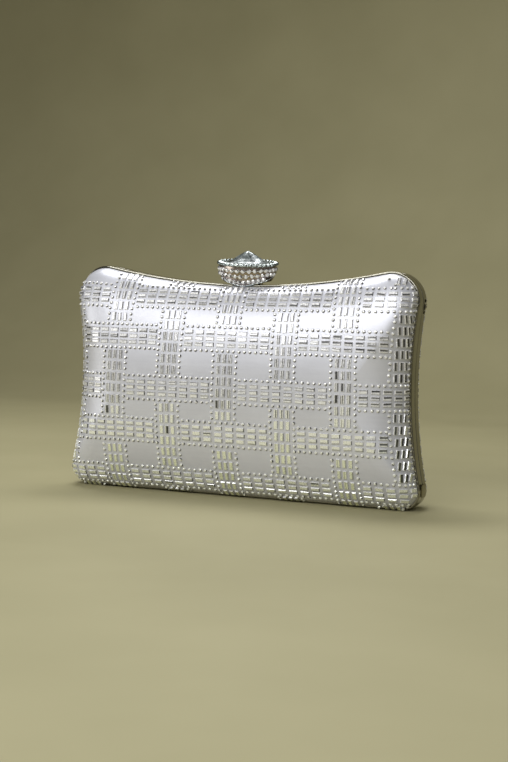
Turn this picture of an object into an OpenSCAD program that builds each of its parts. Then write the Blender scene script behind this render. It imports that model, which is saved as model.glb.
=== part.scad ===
// Hard-case evening bag: two satin-covered pillow shells on a metal frame,
// hinged at the bottom, closed by a tilting jewelled knob at the top.
// Origin: middle of the bottom, on the resting plane. +Z up, -Y front.

/* [Frame outline] */
// Half length of the flat bottom, between the lower corner arcs
foot_half = 89.5; // [86:0.5:92]
// Radius of the two lower corners
corner_r = 9.4; // [8.5:0.1:11]
// Half distance between the centres of the two upper corner arcs
ear_half = 81; // [79:0.5:83]
// Height of the upper corner arc centres
ear_z = 104.5; // [103:0.5:106]
// Radius of the two upper corners
ear_r = 14.9; // [14:0.1:16]
// Radius of the slightly hollow sides
waist_r = 250; // [220:5:400]
// Height of the top rail at its middle, below the upper corners
dip_z = 111; // [110:0.5:112]

/* [Frame rails] */
// Thickness of each rail, front to back
rail_t = 6; // [5.5:0.5:7]
// Width of each rail, from its outer edge inwards
rail_w = 5; // [4.5:0.1:5.5]
// Gap between the two rails when shut
seam = 0.3; // [0.3:0.05:0.4]

/* [Shells] */
// How far each satin shell swells out from its rail
bulge = 18.4; // [16:0.2:20]
// Roundness of the swell: 2 is elliptical, more is boxier
crown_n = 2.1; // [2:0.05:2.4]
// How far the rail stands proud of the satin
proud = 1.2; // [1:0.1:1.6]
// Thickness of the rigid shell under the satin
shell_t = 1.5; // [1.2:0.1:1.8]
// Thickness of the satin and of the lining
cloth_t = 0.4; // [0.3:0.05:0.5]
// Height of the set stones over the satin
stone_h = 1.2; // [0.9:0.1:1.4]

/* [Stone bands] */
// Distance between the middles of neighbouring upright bands
band_pitch = 32; // [31:0.5:32.5]
// Overall width of a band
band_w = 14.6; // [13.6:0.2:15]

/* [Bottom hinge] */
// Height of the hinge axis over the resting plane
hinge_z = 2.2; // [2.1:0.05:2.4]
// Distance of each hinge from the middle
hinge_x = 62; // [50:1:70]
// Outer radius of the hinge knuckles
knuckle_r = 2; // [1.8:0.05:2]
// Radius of the hinge pins
hinge_pin_r = 0.8; // [0.7:0.05:0.9]
// Largest opening angle of the front half
open_deg = 50; // [30:5:50]

/* [Knob clasp] */
// Half length of the knob
knob_a = 17; // [15:0.5:18]
// Half depth of the knob
knob_b = 10.8; // [10.4:0.1:11.2]
// Height of the cup rim over the middle of the top rail
rim_h = 10.2; // [9.5:0.1:11]
// Height of the crystal over the girdle
crown_h = 7; // [5:0.2:8]
// Distance of the clasp pivot behind the seam
pivot_y = 4; // [3.8:0.1:4.2]
// Radius of the clasp pin
clasp_pin_r = 0.8; // [0.7:0.05:0.85]

/* [Strap lugs] */
// Radius of the hole in each lug
lug_bore_r = 1.5; // [1.2:0.1:1.7]
// Thickness of each lug
lug_t = 1.2; // [1:0.1:1.4]

/* [Hidden] */
clr = 0.05;                 // running clearance round a pin
run_bore = clasp_pin_r + clr;
piv_z = dip_z + 2.6;        // clasp pivot height
rim_z = dip_z + rim_h;      // cup rim height
knob_y = -0.5;              // knob centre, front to back
g = 0.05;                   // glue line between layers of one half

// ---- outline of the frame, seen from the front, as arcs ----
bc = [foot_half, corner_r];
ec = [ear_half, ear_z];
bl = norm(ec - bc);
ra = waist_r + corner_r;
rb = waist_r + ear_r;
ha = (ra*ra - rb*rb + bl*bl) / (2*bl);
hb = sqrt(ra*ra - ha*ha);
ux = (ec - bc) / bl;
sc = bc + ha*ux + hb*[ux[1], -ux[0]];
top_r = (ear_half*ear_half + (dip_z - ear_z)*(dip_z - ear_z) - ear_r*ear_r) / (2*(ear_r - (dip_z - ear_z)));
tc = [0, dip_z + top_r];
function dir(a, b) = atan2(b[1] - a[1], b[0] - a[0]);
function pos360(a) = a < 0 ? a + 360 : a;
function arcp(c, r, a0, a1, n, s = 0) = [for (i = [s:n]) c + r*[cos(a0 + (a1 - a0)*i/n), sin(a0 + (a1 - a0)*i/n)]];
function half_arcs(t, nc, ns, ne, nt) = concat(
  arcp(bc, corner_r - t, -90, dir(bc, sc), nc),
  arcp(sc, waist_r + t, pos360(dir(sc, bc)), pos360(dir(sc, ec)), ns, 1),
  arcp(ec, ear_r - t, dir(ec, sc), dir(ec, tc), ne, 1),
  arcp(tc, top_r + t, dir(tc, ec), -90, nt, 1));
function flip(p) = [-p[0], p[1]];
// rail outline, t inside the outer edge
function rail_line(t) = let (h = half_arcs(t, 6, 8, 12, 8), n = len(h))
  concat(h, [for (i = [n - 2:-1:0]) flip(h[i])]);
// shell outline, with points along the bottom too
NB = 5;
function shell_line(t) = let (
    h = concat([for (i = [0:NB - 1]) [foot_half*i/NB, t]], half_arcs(t, 4, 6, 7, 6)), n = len(h))
  concat(h, [for (i = [n - 2:-1:1]) flip(h[i])]);

// ---- the pillow surface ----
mid_x = 62;
mid_z = 56.5;
base_line = shell_line(0);
N = len(base_line);
spine = [for (p = base_line) [max(-mid_x, min(mid_x, 0.75*p[0])), mid_z]];
RHO = [1, 0.985, 0.94, 0.85, 0.7, 0.45, 0.15];
function swell(rho, d) = d*pow(max(0, 1 - pow(rho, crown_n)), 1/crown_n);
function skin_pt(line, i, rho, d, s) = let (m = spine[i], q = m + rho*(line[i] - m))
  [q[0], s*(rail_t + g + swell(rho, d)), q[1]];
// three points along the crown, each joined to its share of the innermost ring
HUB = [-mid_x, 0, mid_x];
function hub_pt(k, d, s) = [HUB[k], s*(rail_t + g + d), mid_z];
function own(i) = let (x = base_line[i % N][0]) x > 40 ? 2 : x < -40 ? 0 : 1;
// closed shell between an outer and an inner skin, s = -1 front or 1 back
module pillow(t0, d0, t1, d1, s) {
  K = len(RHO);
  lo = shell_line(t0);
  li = shell_line(t1);
  pts = concat(
    [for (k = [0:K - 1]) for (i = [0:N - 1]) skin_pt(lo, i, RHO[k], d0, s)],
    [for (k = [0:K - 1]) for (i = [0:N - 1]) skin_pt(li, i, RHO[k], d1, s)],
    [for (k = [0:2]) hub_pt(k, d0, s)], [for (k = [0:2]) hub_pt(k, d1, s)]);
  function o(k, i) = k*N + i % N;
  function c(k, i) = (K + k)*N + i % N;
  H = 2*K*N;
  fs = concat(
    [for (k = [0:K - 2]) for (i = [0:N - 1]) for (f = [[o(k, i), o(k, i + 1), o(k + 1, i + 1)], [o(k, i), o(k + 1, i + 1), o(k + 1, i)]]) f],
    [for (k = [0:K - 2]) for (i = [0:N - 1]) for (f = [[c(k, i), c(k + 1, i + 1), c(k, i + 1)], [c(k, i), c(k + 1, i), c(k + 1, i + 1)]]) f],
    [for (i = [0:N - 1]) for (f = [[o(0, i), c(0, i + 1), o(0, i + 1)], [o(0, i), c(0, i), c(0, i + 1)]]) f],
    [for (i = [0:N - 1]) [o(K - 1, i), o(K - 1, i + 1), H + own(i)]],
    [for (i = [0:N - 1]) if (own(i) != own(i + 1)) [o(K - 1, i + 1), H + own(i + 1), H + own(i)]],
    [for (i = [0:N - 1]) [c(K - 1, i + 1), c(K - 1, i), H + 3 + own(i)]],
    [for (i = [0:N - 1]) if (own(i) != own(i + 1)) [H + 3 + own(i + 1), c(K - 1, i + 1), H + 3 + own(i)]]);
  polyhedron(pts, s < 0 ? [for (f = fs) [for (j = [len(f) - 1:-1:0]) f[j]]] : fs, convexity = 6);
}

// ---- curved patches that follow the pillow ----
sat_line = shell_line(proud);
function crs(a, b) = a[0]*b[1] - a[1]*b[0];
function ray(i) = sat_line[i % N] - spine[i % N];
// ring position of a point given by its front view x and z
function ring_of(p) = let (
    hits = [for (i = [0:N - 1]) let (c0 = crs(ray(i), p - spine[i]), c1 = crs(ray(i + 1), p - spine[(i + 1) % N]))
      if (c0 >= 0 && c1 < 0 && (ray(i)*(p - spine[i]) > 0 || ray(i + 1)*(p - spine[(i + 1) % N]) > 0))
        let (w = c0/(c0 - c1), m = spine[i]*(1 - w) + spine[(i + 1) % N]*w, v = ray(i)*(1 - w) + ray(i + 1)*w, r = ((p - m)*v)/(v*v))
          [i, w, min(0.985, r), norm(m + r*v - p)]],
    best = min([for (h = hits) h[3]]))
  [for (h = hits) if (h[3] == best) h][0];
function patch_pt(r, line, d, s) = let (i = r[0], w = r[1], j = (i + 1) % N,
    m = spine[i]*(1 - w) + spine[j]*w,
    e = line[i]*(1 - w) + line[j]*w,
    q = m + r[2]*(e - m))
  [q[0], s*(rail_t + g + swell(r[2], d)), q[1]];
// grid = rows of front-view points; the solid lies between two skins
module patch(grid, t0, d0, t1, d1, s) {
  nu = len(grid); nv = len(grid[0]);
  lo = shell_line(t0); li = shell_line(t1);
  rg = [for (a = grid) [for (p = a) ring_of(p)]];
  pts = concat([for (a = rg) for (r = a) patch_pt(r, lo, d0, s)], [for (a = rg) for (r = a) patch_pt(r, li, d1, s)]);
  M = nu*nv;
  function o(u, v) = u*nv + v;
  function c(u, v) = M + u*nv + v;
  fs = concat(
    [for (u = [0:nu - 2]) for (v = [0:nv - 2]) for (f = [[o(u, v), o(u + 1, v), o(u + 1, v + 1)], [o(u, v), o(u + 1, v + 1), o(u, v + 1)]]) f],
    [for (u = [0:nu - 2]) for (v = [0:nv - 2]) for (f = [[c(u, v), c(u + 1, v + 1), c(u + 1, v)], [c(u, v), c(u, v + 1), c(u + 1, v + 1)]]) f],
    [for (u = [0:nu - 2]) for (f = [[o(u, 0), c(u, 0), c(u + 1, 0)], [o(u, 0), c(u + 1, 0), o(u + 1, 0)],
      [o(u, nv - 1), c(u + 1, nv - 1), c(u, nv - 1)], [o(u, nv - 1), o(u + 1, nv - 1), c(u + 1, nv - 1)]]) f],
    [for (v = [0:nv - 2]) for (f = [[o(0, v), c(0, v + 1), c(0, v)], [o(0, v), o(0, v + 1), c(0, v + 1)],
      [o(nu - 1, v), c(nu - 1, v), c(nu - 1, v + 1)], [o(nu - 1, v), c(nu - 1, v + 1), o(nu - 1, v + 1)]]) f]);
  polyhedron(pts, s < 0 ? fs : [for (f = fs) [f[2], f[1], f[0]]], convexity = 4);
}
function ramp(a, b, n) = [for (i = [0:n]) a + (b - a)*i/n];
// half width of the frame at height z, and height of its top at x, t inside the edge
// (side_x and top_z also place the ends of the stone bands)
function side_x(z, t) = z < bc[1] + (corner_r - t)*sin(dir(bc, sc)) ? bc[0] + sqrt(max(0, pow(corner_r - t, 2) - pow(z - bc[1], 2)))
  : z < ec[1] + (ear_r - t)*sin(dir(ec, sc)) ? sc[0] - sqrt(pow(waist_r + t, 2) - pow(z - sc[1], 2))
  : ec[0] + sqrt(max(0, pow(ear_r - t, 2) - pow(z - ec[1], 2)));
function top_z(x, t) = abs(x) < tc[0] + (top_r + t)*cos(dir(tc, ec)) ? tc[1] - sqrt(pow(top_r + t, 2) - x*x)
  : ec[1] + sqrt(max(0, pow(ear_r - t, 2) - pow(abs(x) - ec[0], 2)));
// centre heights of the level bands, as seen from the front
HZ = [104.1, 82.9, 56.3, 33.9, 7.9];
hw = band_w/2;
edge_in = proud + 0.9;
sgap = 0.25;
lift = 0.5;
module band(grid, s) { patch(grid, proud - lift, bulge + lift, proud - stone_h, bulge + stone_h, s); }
// upright band piece: x range and z range; "edge" ends follow the frame
module upright(xa, xb, za, zb, s, to_top = false, to_foot = false) {
  n = to_top || to_foot ? 7 : 4;
  band([for (x = ramp(xa, xb, 2)) [for (k = [0:n]) let (
      z0 = to_foot ? proud + 0.6 : za, z1 = to_top ? top_z(x, edge_in) : zb,
      w = to_top ? 1 - pow(1 - k/n, 1.6) : to_foot ? pow(k/n, 1.6) : k/n) [x, z0 + (z1 - z0)*w]]], s);
}
module level(xa, xb, zc, s) {
  z0 = max(proud + 0.7, zc - hw);
  n = xb > 80 || xa < -80 ? 8 : 5;
  band([for (k = [0:n]) let (x = xa + (xb - xa)*(xb > 80 ? 1 - pow(1 - k/n, 1.7) : xa < -80 ? pow(k/n, 1.7) : k/n))
    [for (z = ramp(z0, min(zc + hw, top_z(x, edge_in)), zc > 90 || zc < 20 ? 5 : 3)) [x, z]]], s);
}
// piece between x and the side of the frame
module side_piece(x0, za, zb, sd, s, nz = 3) {
  gr = [for (k = [0:7]) [for (z = ramp(za, zb, nz)) let (xe = side_x(z, edge_in), x = x0 + (xe - x0)*(1 - pow(1 - k/7, 1.6))) [sd*x, z]]];
  band(sd > 0 ? gr : [for (k = [7:-1:0]) gr[k]], s);
}
module trim(s) {
  // odd upright bands lie over the 1st, 3rd and 5th level bands
  for (k = [-2, 0, 2]) {
    x = k*band_pitch;
    upright(x - hw, x + hw, HZ[3] + hw + sgap, HZ[1] - hw - sgap, s);
    upright(x - hw, x + hw, HZ[1] + hw + sgap, 0, s, to_top = true);
    upright(x - hw, x + hw, 0, HZ[3] - hw - sgap, s, to_foot = true);
  }
  for (k = [-1, 1]) {
    x = k*band_pitch;
    upright(x - hw, x + hw, HZ[2] + hw + sgap, HZ[0] - hw - sgap, s);
    upright(x - hw, x + hw, HZ[4] + hw + sgap, HZ[2] - hw - sgap, s);
  }
  for (sd = [-1, 1]) {
    side_piece(3*band_pitch - hw, HZ[2] + hw + sgap, HZ[0] - hw - sgap, sd, s);
    side_piece(3*band_pitch - hw, HZ[4] + hw + sgap, HZ[2] - hw - sgap, sd, s);
    for (j = [0, 2]) side_piece(2*band_pitch + hw + sgap, HZ[j] - hw, j == 0 ? HZ[0] + hw - 1.2 : HZ[j] + hw, sd, s, 2);
    side_piece(2*band_pitch + hw + sgap, 4.2, HZ[4] + hw, sd, s, 2);
  }
  for (j = [0, 2, 4]) for (k = [-1, 1])
    level((k - 1)*band_pitch + hw + sgap, (k + 1)*band_pitch - hw - sgap, HZ[j], s);
  for (j = [1, 3]) for (k = [-2, 0, 2])
    level((k - 1)*band_pitch + hw + sgap, (k + 1)*band_pitch - hw - sgap, HZ[j], s);
}

// ---- rails ----
module rail_prism(y1, h, t0, t1) { translate([0, y1, 0]) rotate([90, 0, 0]) linear_extrude(h) difference() { polygon(rail_line(t0)); polygon(rail_line(t1)); } }
module along_x(len, pts) { rotate([90, 0, 90]) linear_extrude(len, center = true) polygon(pts); }
// the seam edge below the hinge axis is relieved so the halves can part
module relief(s) {
  w = seam/2 + (hinge_z + 0.5)*tan(open_deg/2);
  along_x(230, [[s*seam/2, hinge_z], [s*w, -0.5], [-s*1, -0.5], [-s*1, hinge_z]]);
}
knuckle_w = [4, 5, 4];
knuckle_gap = 0.3;
hinge_len = knuckle_w[0] + knuckle_w[1] + knuckle_w[2] + 2*knuckle_gap;
module hinge_notch(s) {
  for (sd = [-1, 1]) translate([sd*hinge_x - hinge_len/2 - 0.4, s < 0 ? -knuckle_r - 0.4 : -1, -1])
    cube([hinge_len + 0.8, knuckle_r + 1.4, rail_w + 2]);
}
catch_hw = 6;
module front_frame() { color([0.62, 0.61, 0.56]) difference() {
  rail_prism(-seam/2, rail_t - seam/2, 0, rail_w);
  relief(-1);
  hinge_notch(-1);
  translate([-catch_hw, -rail_t - 1, dip_z - 0.9]) cube([2*catch_hw, rail_t - 2, 3]);
} }
seat_hw = 8;
lug_z = 102.3;
lug_x = 93.4;
module back_frame() { color([0.62, 0.61, 0.56]) difference() {
  rail_prism(rail_t, rail_t - seam/2, 0, rail_w);
  relief(1);
  hinge_notch(1);
  translate([-seat_hw, -0.5, dip_z - 0.6]) cube([2*seat_hw, rail_t + 1, 3]);
  for (sd = [-1, 1]) {
    translate([sd > 0 ? 86 : -106, 3.4 - lug_t/2 - 0.6, lug_z - 3.6]) cube([20, lug_t + 1.2, 7.2]);
    for (z = [7.4, 11]) translate([sd*97, 3.2, z]) rotate([0, 90, 0]) cylinder(r = 0.7, h = 6, center = true, $fn = 24);
  }
} }
module front_shell() { color([0.55, 0.55, 0.57]) pillow(proud + cloth_t + g, bulge - cloth_t - g, proud + cloth_t + shell_t, bulge - cloth_t - shell_t, -1); }
module back_shell() { color([0.55, 0.55, 0.57]) pillow(proud + cloth_t + g, bulge - cloth_t - g, proud + cloth_t + shell_t, bulge - cloth_t - shell_t, 1); }
module front_cover() { color([0.74, 0.76, 0.79]) pillow(proud, bulge, proud + cloth_t, bulge - cloth_t, -1); }
module back_cover() { color([0.74, 0.76, 0.79]) pillow(proud, bulge, proud + cloth_t, bulge - cloth_t, 1); }
lin_t = proud + cloth_t + shell_t + g;
lin_d = bulge - cloth_t - shell_t - g;
module front_lining() { color([0.66, 0.66, 0.69]) pillow(lin_t, lin_d, lin_t + cloth_t, lin_d - cloth_t, -1); }
module back_lining() { color([0.66, 0.66, 0.69]) pillow(lin_t, lin_d, lin_t + cloth_t, lin_d - cloth_t, 1); }
module front_trim() { color([0.85, 0.86, 0.84]) trim(-1); }
module back_trim() { color([0.85, 0.86, 0.84]) trim(1); }

// ---- open pocket sewn to the back lining ----
pk_hw = 44;
pk_z0 = 24;
pk_z1 = 74;
module slip_pocket() { color([0.62, 0.62, 0.65])
  patch([for (x = ramp(-pk_hw, pk_hw, 8)) [for (z = ramp(pk_z0, pk_z1, 5)) [x, z]]],
    lin_t + cloth_t + 1.1, lin_d - cloth_t - 1.1, lin_t + cloth_t + 0.7, lin_d - cloth_t - 0.7, 1); }
// folded edge that finishes the pocket mouth
module pocket_binding() { color([0.70, 0.70, 0.73])
  patch([for (x = ramp(-pk_hw, pk_hw, 8)) [for (z = [pk_z1 + 0.05, pk_z1 + 2.4]) [x, z]]],
    lin_t + cloth_t + 1.3, lin_d - cloth_t - 1.3, lin_t + cloth_t + 0.5, lin_d - cloth_t - 0.5, 1); }

// ---- bottom hinges ----
leaf_t = 0.8;
leaf_z = rail_w + 0.03;
module knuckle(x, w, bore) { translate([x, 0, hinge_z]) rotate([0, 90, 0]) cylinder(r = knuckle_r, h = w, center = true, $fn = 48); }
module leaf(sd, s, ks, bore) {
  xs = [-(knuckle_w[1]/2 + knuckle_gap + knuckle_w[0]/2), 0, knuckle_w[1]/2 + knuckle_gap + knuckle_w[2]/2];
  difference() {
    union() {
      for (k = ks) {
        knuckle(sd*hinge_x + xs[k], knuckle_w[k]);
        translate([sd*hinge_x + xs[k] - knuckle_w[k]/2, s < 0 ? -knuckle_r : knuckle_r - leaf_t, hinge_z])
          cube([knuckle_w[k], leaf_t, leaf_z + leaf_t - hinge_z]);
      }
      translate([sd*hinge_x - hinge_len/2, s < 0 ? -rail_t + 0.4 : knuckle_r - leaf_t, leaf_z])
        cube([hinge_len, rail_t - 0.4 - knuckle_r + leaf_t, leaf_t]);
    }
    translate([sd*hinge_x, 0, hinge_z]) rotate([0, 90, 0]) cylinder(r = bore, h = hinge_len + 4, center = true, $fn = 48);
  }
}
module front_hinge_leaf_left() { color([0.70, 0.70, 0.72]) leaf(-1, -1, [1], hinge_pin_r + clr); }
module front_hinge_leaf_right() { color([0.70, 0.70, 0.72]) leaf(1, -1, [1], hinge_pin_r + clr); }
module back_hinge_leaf_left() { color([0.70, 0.70, 0.72]) leaf(-1, 1, [0, 2], hinge_pin_r); }
module back_hinge_leaf_right() { color([0.70, 0.70, 0.72]) leaf(1, 1, [0, 2], hinge_pin_r); }
module hinge_pin(sd) { translate([sd*hinge_x, 0, hinge_z]) rotate([0, 90, 0]) cylinder(r = hinge_pin_r, h = hinge_len + 0.4, center = true, $fn = 48); }
module hinge_pin_left() { color([0.75, 0.75, 0.77]) hinge_pin(-1); }
module hinge_pin_right() { color([0.75, 0.75, 0.77]) hinge_pin(1); }
// flat end plates that cover the seam beside the lower corners, on two pegs
guard_x = side_x(corner_r, 0) + 0.3;
module guard(sd) {
  difference() {
    translate([sd > 0 ? guard_x : -guard_x - 0.8, -5.2, 3.6]) cube([0.8, 10.6, 9.8]);
    for (y = [-5.2, 5.4], z = [3.6, 13.4]) translate([sd*(guard_x + 0.4), y, z]) rotate([45, 0, 0]) cube([2, 2, 2], center = true);
  }
  for (z = [7.4, 11]) translate([sd*(guard_x + 0.05), 3.2, z]) rotate([0, sd*-90, 0]) cylinder(r = 0.65, h = 3, $fn = 24);
}
module hinge_guard_left() { color([0.45, 0.44, 0.40]) guard(-1); }
module hinge_guard_right() { color([0.45, 0.44, 0.40]) guard(1); }

// ---- lugs in the back rail that take a strap hook ----
module lug(sd) {
  translate([0, 3.4 + lug_t/2, 0]) rotate([90, 0, 0]) linear_extrude(lug_t) difference() {
    union() {
      translate([sd*lug_x, lug_z]) circle(r = 3, $fn = 48);
      translate([sd > 0 ? 88.4 : -lug_x, lug_z - 3]) square([lug_x - 88.4, 6]);
    }
    translate([sd*lug_x, lug_z]) circle(r = lug_bore_r, $fn = 48);
  }
  translate([sd > 0 ? 88.4 : -89.8, 1, lug_z - 3]) cube([1.4, 4.6, 6]);
}
module strap_lug_left() { color([0.55, 0.54, 0.50]) lug(-1); }
module strap_lug_right() { color([0.55, 0.54, 0.50]) lug(1); }

// ---- clasp ----
module catch_plate() { color([0.66, 0.65, 0.60]) difference() {
  translate([-catch_hw + 0.05, -rail_t, dip_z - 0.85]) cube([2*catch_hw - 0.1, rail_t - 3.05, 0.95]);
  translate([0, -rail_t, dip_z + 0.2]) rotate([45, 0, 0]) cube([20, 0.6, 0.6], center = true);
} }
cheek_in = 5;
cheek_t = 1.2;
br_z = dip_z - 0.55;
module clasp_bracket() { color([0.62, 0.61, 0.58]) difference() {
  union() {
    translate([-seat_hw + 0.1, 1.2, br_z]) cube([2*seat_hw - 0.2, rail_t - 1.3, 0.9]);
    for (s = [-1, 1]) {
      translate([s*(cheek_in + cheek_t/2) - cheek_t/2, pivot_y - 1.9, br_z]) cube([cheek_t, 3.8, piv_z - br_z]);
      translate([s*(cheek_in + cheek_t/2), pivot_y, piv_z]) rotate([0, 90, 0]) cylinder(r = 1.9, h = cheek_t, center = true, $fn = 48);
    }
  }
  translate([0, pivot_y, piv_z]) rotate([0, 90, 0]) cylinder(r = clasp_pin_r, h = 30, center = true, $fn = 48);
} }
module clasp_pin() { color([0.75, 0.75, 0.77]) translate([0, pivot_y, piv_z]) rotate([0, 90, 0]) cylinder(r = clasp_pin_r, h = 2*(cheek_in + cheek_t) + 0.6, center = true, $fn = 48); }
barrel_r = 1.55;
module clasp_spring() { color([0.60, 0.60, 0.62]) {
  for (i = [-2:2]) translate([i*0.55, pivot_y, piv_z]) rotate([0, 90, 0]) rotate_extrude($fn = 36) translate([1.2, 0]) circle(r = 0.24, $fn = 14);
} }
// oval plate under the crystal, with two barrels on the pin
function oval(a, b, n) = [for (i = [0:n - 1]) [a*cos(360*i/n), b*sin(360*i/n)]];
function bowl(u) = 0.6 + 0.4*pow(max(0, u), 0.55);
cup_lo = dip_z - 1;
function cup_f(z) = bowl((z - cup_lo)/(rim_z - cup_lo));
plate_z = dip_z + 5.3;
wall = 0.8;
module clasp_lever() { color([0.64, 0.63, 0.60]) difference() {
  union() {
    translate([0, knob_y, plate_z]) linear_extrude(0.9) polygon(oval(knob_a*cup_f(plate_z) - wall - 0.12, knob_b*cup_f(plate_z) - wall - 0.12, 48));
    for (s = [-1, 1]) translate([s*3.3, 0, 0]) {
      translate([0, pivot_y, piv_z]) rotate([0, 90, 0]) cylinder(r = barrel_r, h = 2.9, center = true, $fn = 48);
      translate([-1.45, pivot_y - 0.8, piv_z]) cube([2.9, 1.6, plate_z - piv_z + 0.4]);
    }
  }
  translate([0, pivot_y, piv_z]) rotate([0, 90, 0]) cylinder(r = run_bore, h = 30, center = true, $fn = 48);
} }
// cup wall: deep at the front, where it hooks over the front rail
NC = 36;
function lip(a) = let (f = -sin(a), c = abs(cos(a))) f > 0.55 ? cup_lo + 2.6*pow(c/0.84, 1.3) : f > -0.3 ? cup_lo + 2.6 + (0.55 - f)/0.85*0.9 : cup_lo + 3.5 + (-0.3 - f)/0.7*1.3;
module knob_cup() {
  K = 6;
  function pt(a, k, w) = let (z0 = lip(a), z = z0 + (rim_z - z0)*k/K, f = cup_f(z)) [(knob_a*f - w)*cos(a), knob_y + (knob_b*f - w)*sin(a), z];
  pts = concat([for (k = [0:K]) for (i = [0:NC - 1]) pt(360*i/NC, k, 0)], [for (k = [0:K]) for (i = [0:NC - 1]) pt(360*i/NC, k, wall)]);
  function o(k, i) = k*NC + i % NC;
  function c(k, i) = (K + 1 + k)*NC + i % NC;
  fs = concat(
    [for (k = [0:K - 1]) for (i = [0:NC - 1]) for (f = [[o(k, i), o(k + 1, i + 1), o(k, i + 1)], [o(k, i), o(k + 1, i), o(k + 1, i + 1)]]) f],
    [for (k = [0:K - 1]) for (i = [0:NC - 1]) for (f = [[c(k, i), c(k, i + 1), c(k + 1, i + 1)], [c(k, i), c(k + 1, i + 1), c(k + 1, i)]]) f],
    [for (i = [0:NC - 1]) for (f = [[o(0, i), o(0, i + 1), c(0, i + 1)], [o(0, i), c(0, i + 1), c(0, i)], [o(K, i), c(K, i + 1), o(K, i + 1)], [o(K, i), c(K, i), c(K, i + 1)]]) f]);
  color([0.72, 0.70, 0.64]) polyhedron(pts, fs, convexity = 4);
}
// small round stones in staggered rows on the cup
pave_r = 0.72;
module knob_pave() { color([0.90, 0.91, 0.88])
  for (row = [0:2]) let (u = 0.30 + 0.24*row) for (i = [0:23]) let (
      a = 360*(i + (row % 2)/2)/24, z0 = lip(a), z = z0 + (rim_z - z0)*u, f = cup_f(z), fa = knob_a*f, fb = knob_b*f,
      nx = cos(a)/fa, ny = sin(a)/fb, nl = sqrt(nx*nx + ny*ny), k = pave_r + 0.12)
    translate([fa*cos(a) + k*nx/nl, knob_y + fb*sin(a) + k*ny/nl, z]) sphere(r = pave_r, $fn = 16);
}
// rounded band round the rim
module knob_bezel() {
  n = 40; m = 8; r = 1.15;
  pts = [for (i = [0:n - 1]) for (j = [0:m - 1]) let (a = 360*i/n, b = 360*j/m + 22.5) [(knob_a - 0.7 + r*cos(b))*cos(a), knob_y + (knob_b - 0.7 + r*cos(b))*sin(a), rim_z + r*cos(22.5) + 0.04 + r*sin(b)]];
  function q(i, j) = (i % n)*m + j % m;
  color([0.86, 0.85, 0.80]) polyhedron(pts, [for (i = [0:n - 1]) for (j = [0:m - 1]) for (f = [[q(i, j), q(i, j + 1), q(i + 1, j + 1)], [q(i, j), q(i + 1, j + 1), q(i + 1, j)]]) f], convexity = 4);
}
// large oval cut stone
gird_z = rim_z + 1.3;
module knob_crystal() {
  n = 16; a0 = knob_a - 2.05; b0 = knob_b - 2.05;
  prof = [[0.30, -4.2], [0.72, -2.4], [1, -0.35], [1, 0.35], [0.78, crown_h*0.52], [0.36, crown_h - 0.5]];
  K = len(prof);
  pts = concat([for (k = [0:K - 1]) for (i = [0:n - 1]) [a0*prof[k][0]*cos(360*i/n), knob_y + b0*prof[k][0]*sin(360*i/n), gird_z + prof[k][1]]]);
  function q(k, i) = k*n + i % n;
  color([0.92, 0.94, 0.93]) polyhedron(pts, concat([for (k = [0:K - 2]) for (i = [0:n - 1]) for (f = [[q(k, i), q(k + 1, i + 1), q(k, i + 1)], [q(k, i), q(k + 1, i), q(k + 1, i + 1)]]) f],
    [[for (i = [0:n - 1]) q(0, i)]], [[for (i = [n - 1:-1:0]) q(K - 1, i)]]), convexity = 4);
}

front_frame();
front_shell();
front_cover();
front_lining();
front_trim();
front_hinge_leaf_left();
front_hinge_leaf_right();
catch_plate();
back_frame();
back_shell();
back_cover();
back_lining();
back_trim();
back_hinge_leaf_left();
back_hinge_leaf_right();
hinge_pin_left();
hinge_pin_right();
hinge_guard_left();
hinge_guard_right();
strap_lug_left();
strap_lug_right();
slip_pocket();
pocket_binding();
clasp_bracket();
clasp_pin();
clasp_spring();
clasp_lever();
knob_cup();
knob_pave();
knob_bezel();
knob_crystal();
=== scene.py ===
import math
import bpy
import numpy as np
from mathutils import Matrix, Vector


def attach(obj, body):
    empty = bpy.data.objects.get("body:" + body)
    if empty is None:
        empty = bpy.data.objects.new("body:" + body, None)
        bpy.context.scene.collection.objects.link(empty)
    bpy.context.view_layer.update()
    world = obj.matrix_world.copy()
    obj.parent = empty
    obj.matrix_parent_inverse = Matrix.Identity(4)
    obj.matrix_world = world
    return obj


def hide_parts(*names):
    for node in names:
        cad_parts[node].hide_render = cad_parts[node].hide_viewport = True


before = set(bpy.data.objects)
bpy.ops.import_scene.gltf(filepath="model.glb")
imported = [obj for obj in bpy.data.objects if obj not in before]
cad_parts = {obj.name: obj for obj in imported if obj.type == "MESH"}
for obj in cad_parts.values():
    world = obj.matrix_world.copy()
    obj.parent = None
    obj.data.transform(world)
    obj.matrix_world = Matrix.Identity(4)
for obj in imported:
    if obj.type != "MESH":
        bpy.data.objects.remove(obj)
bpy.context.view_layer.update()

rng = np.random.default_rng(11)

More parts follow.
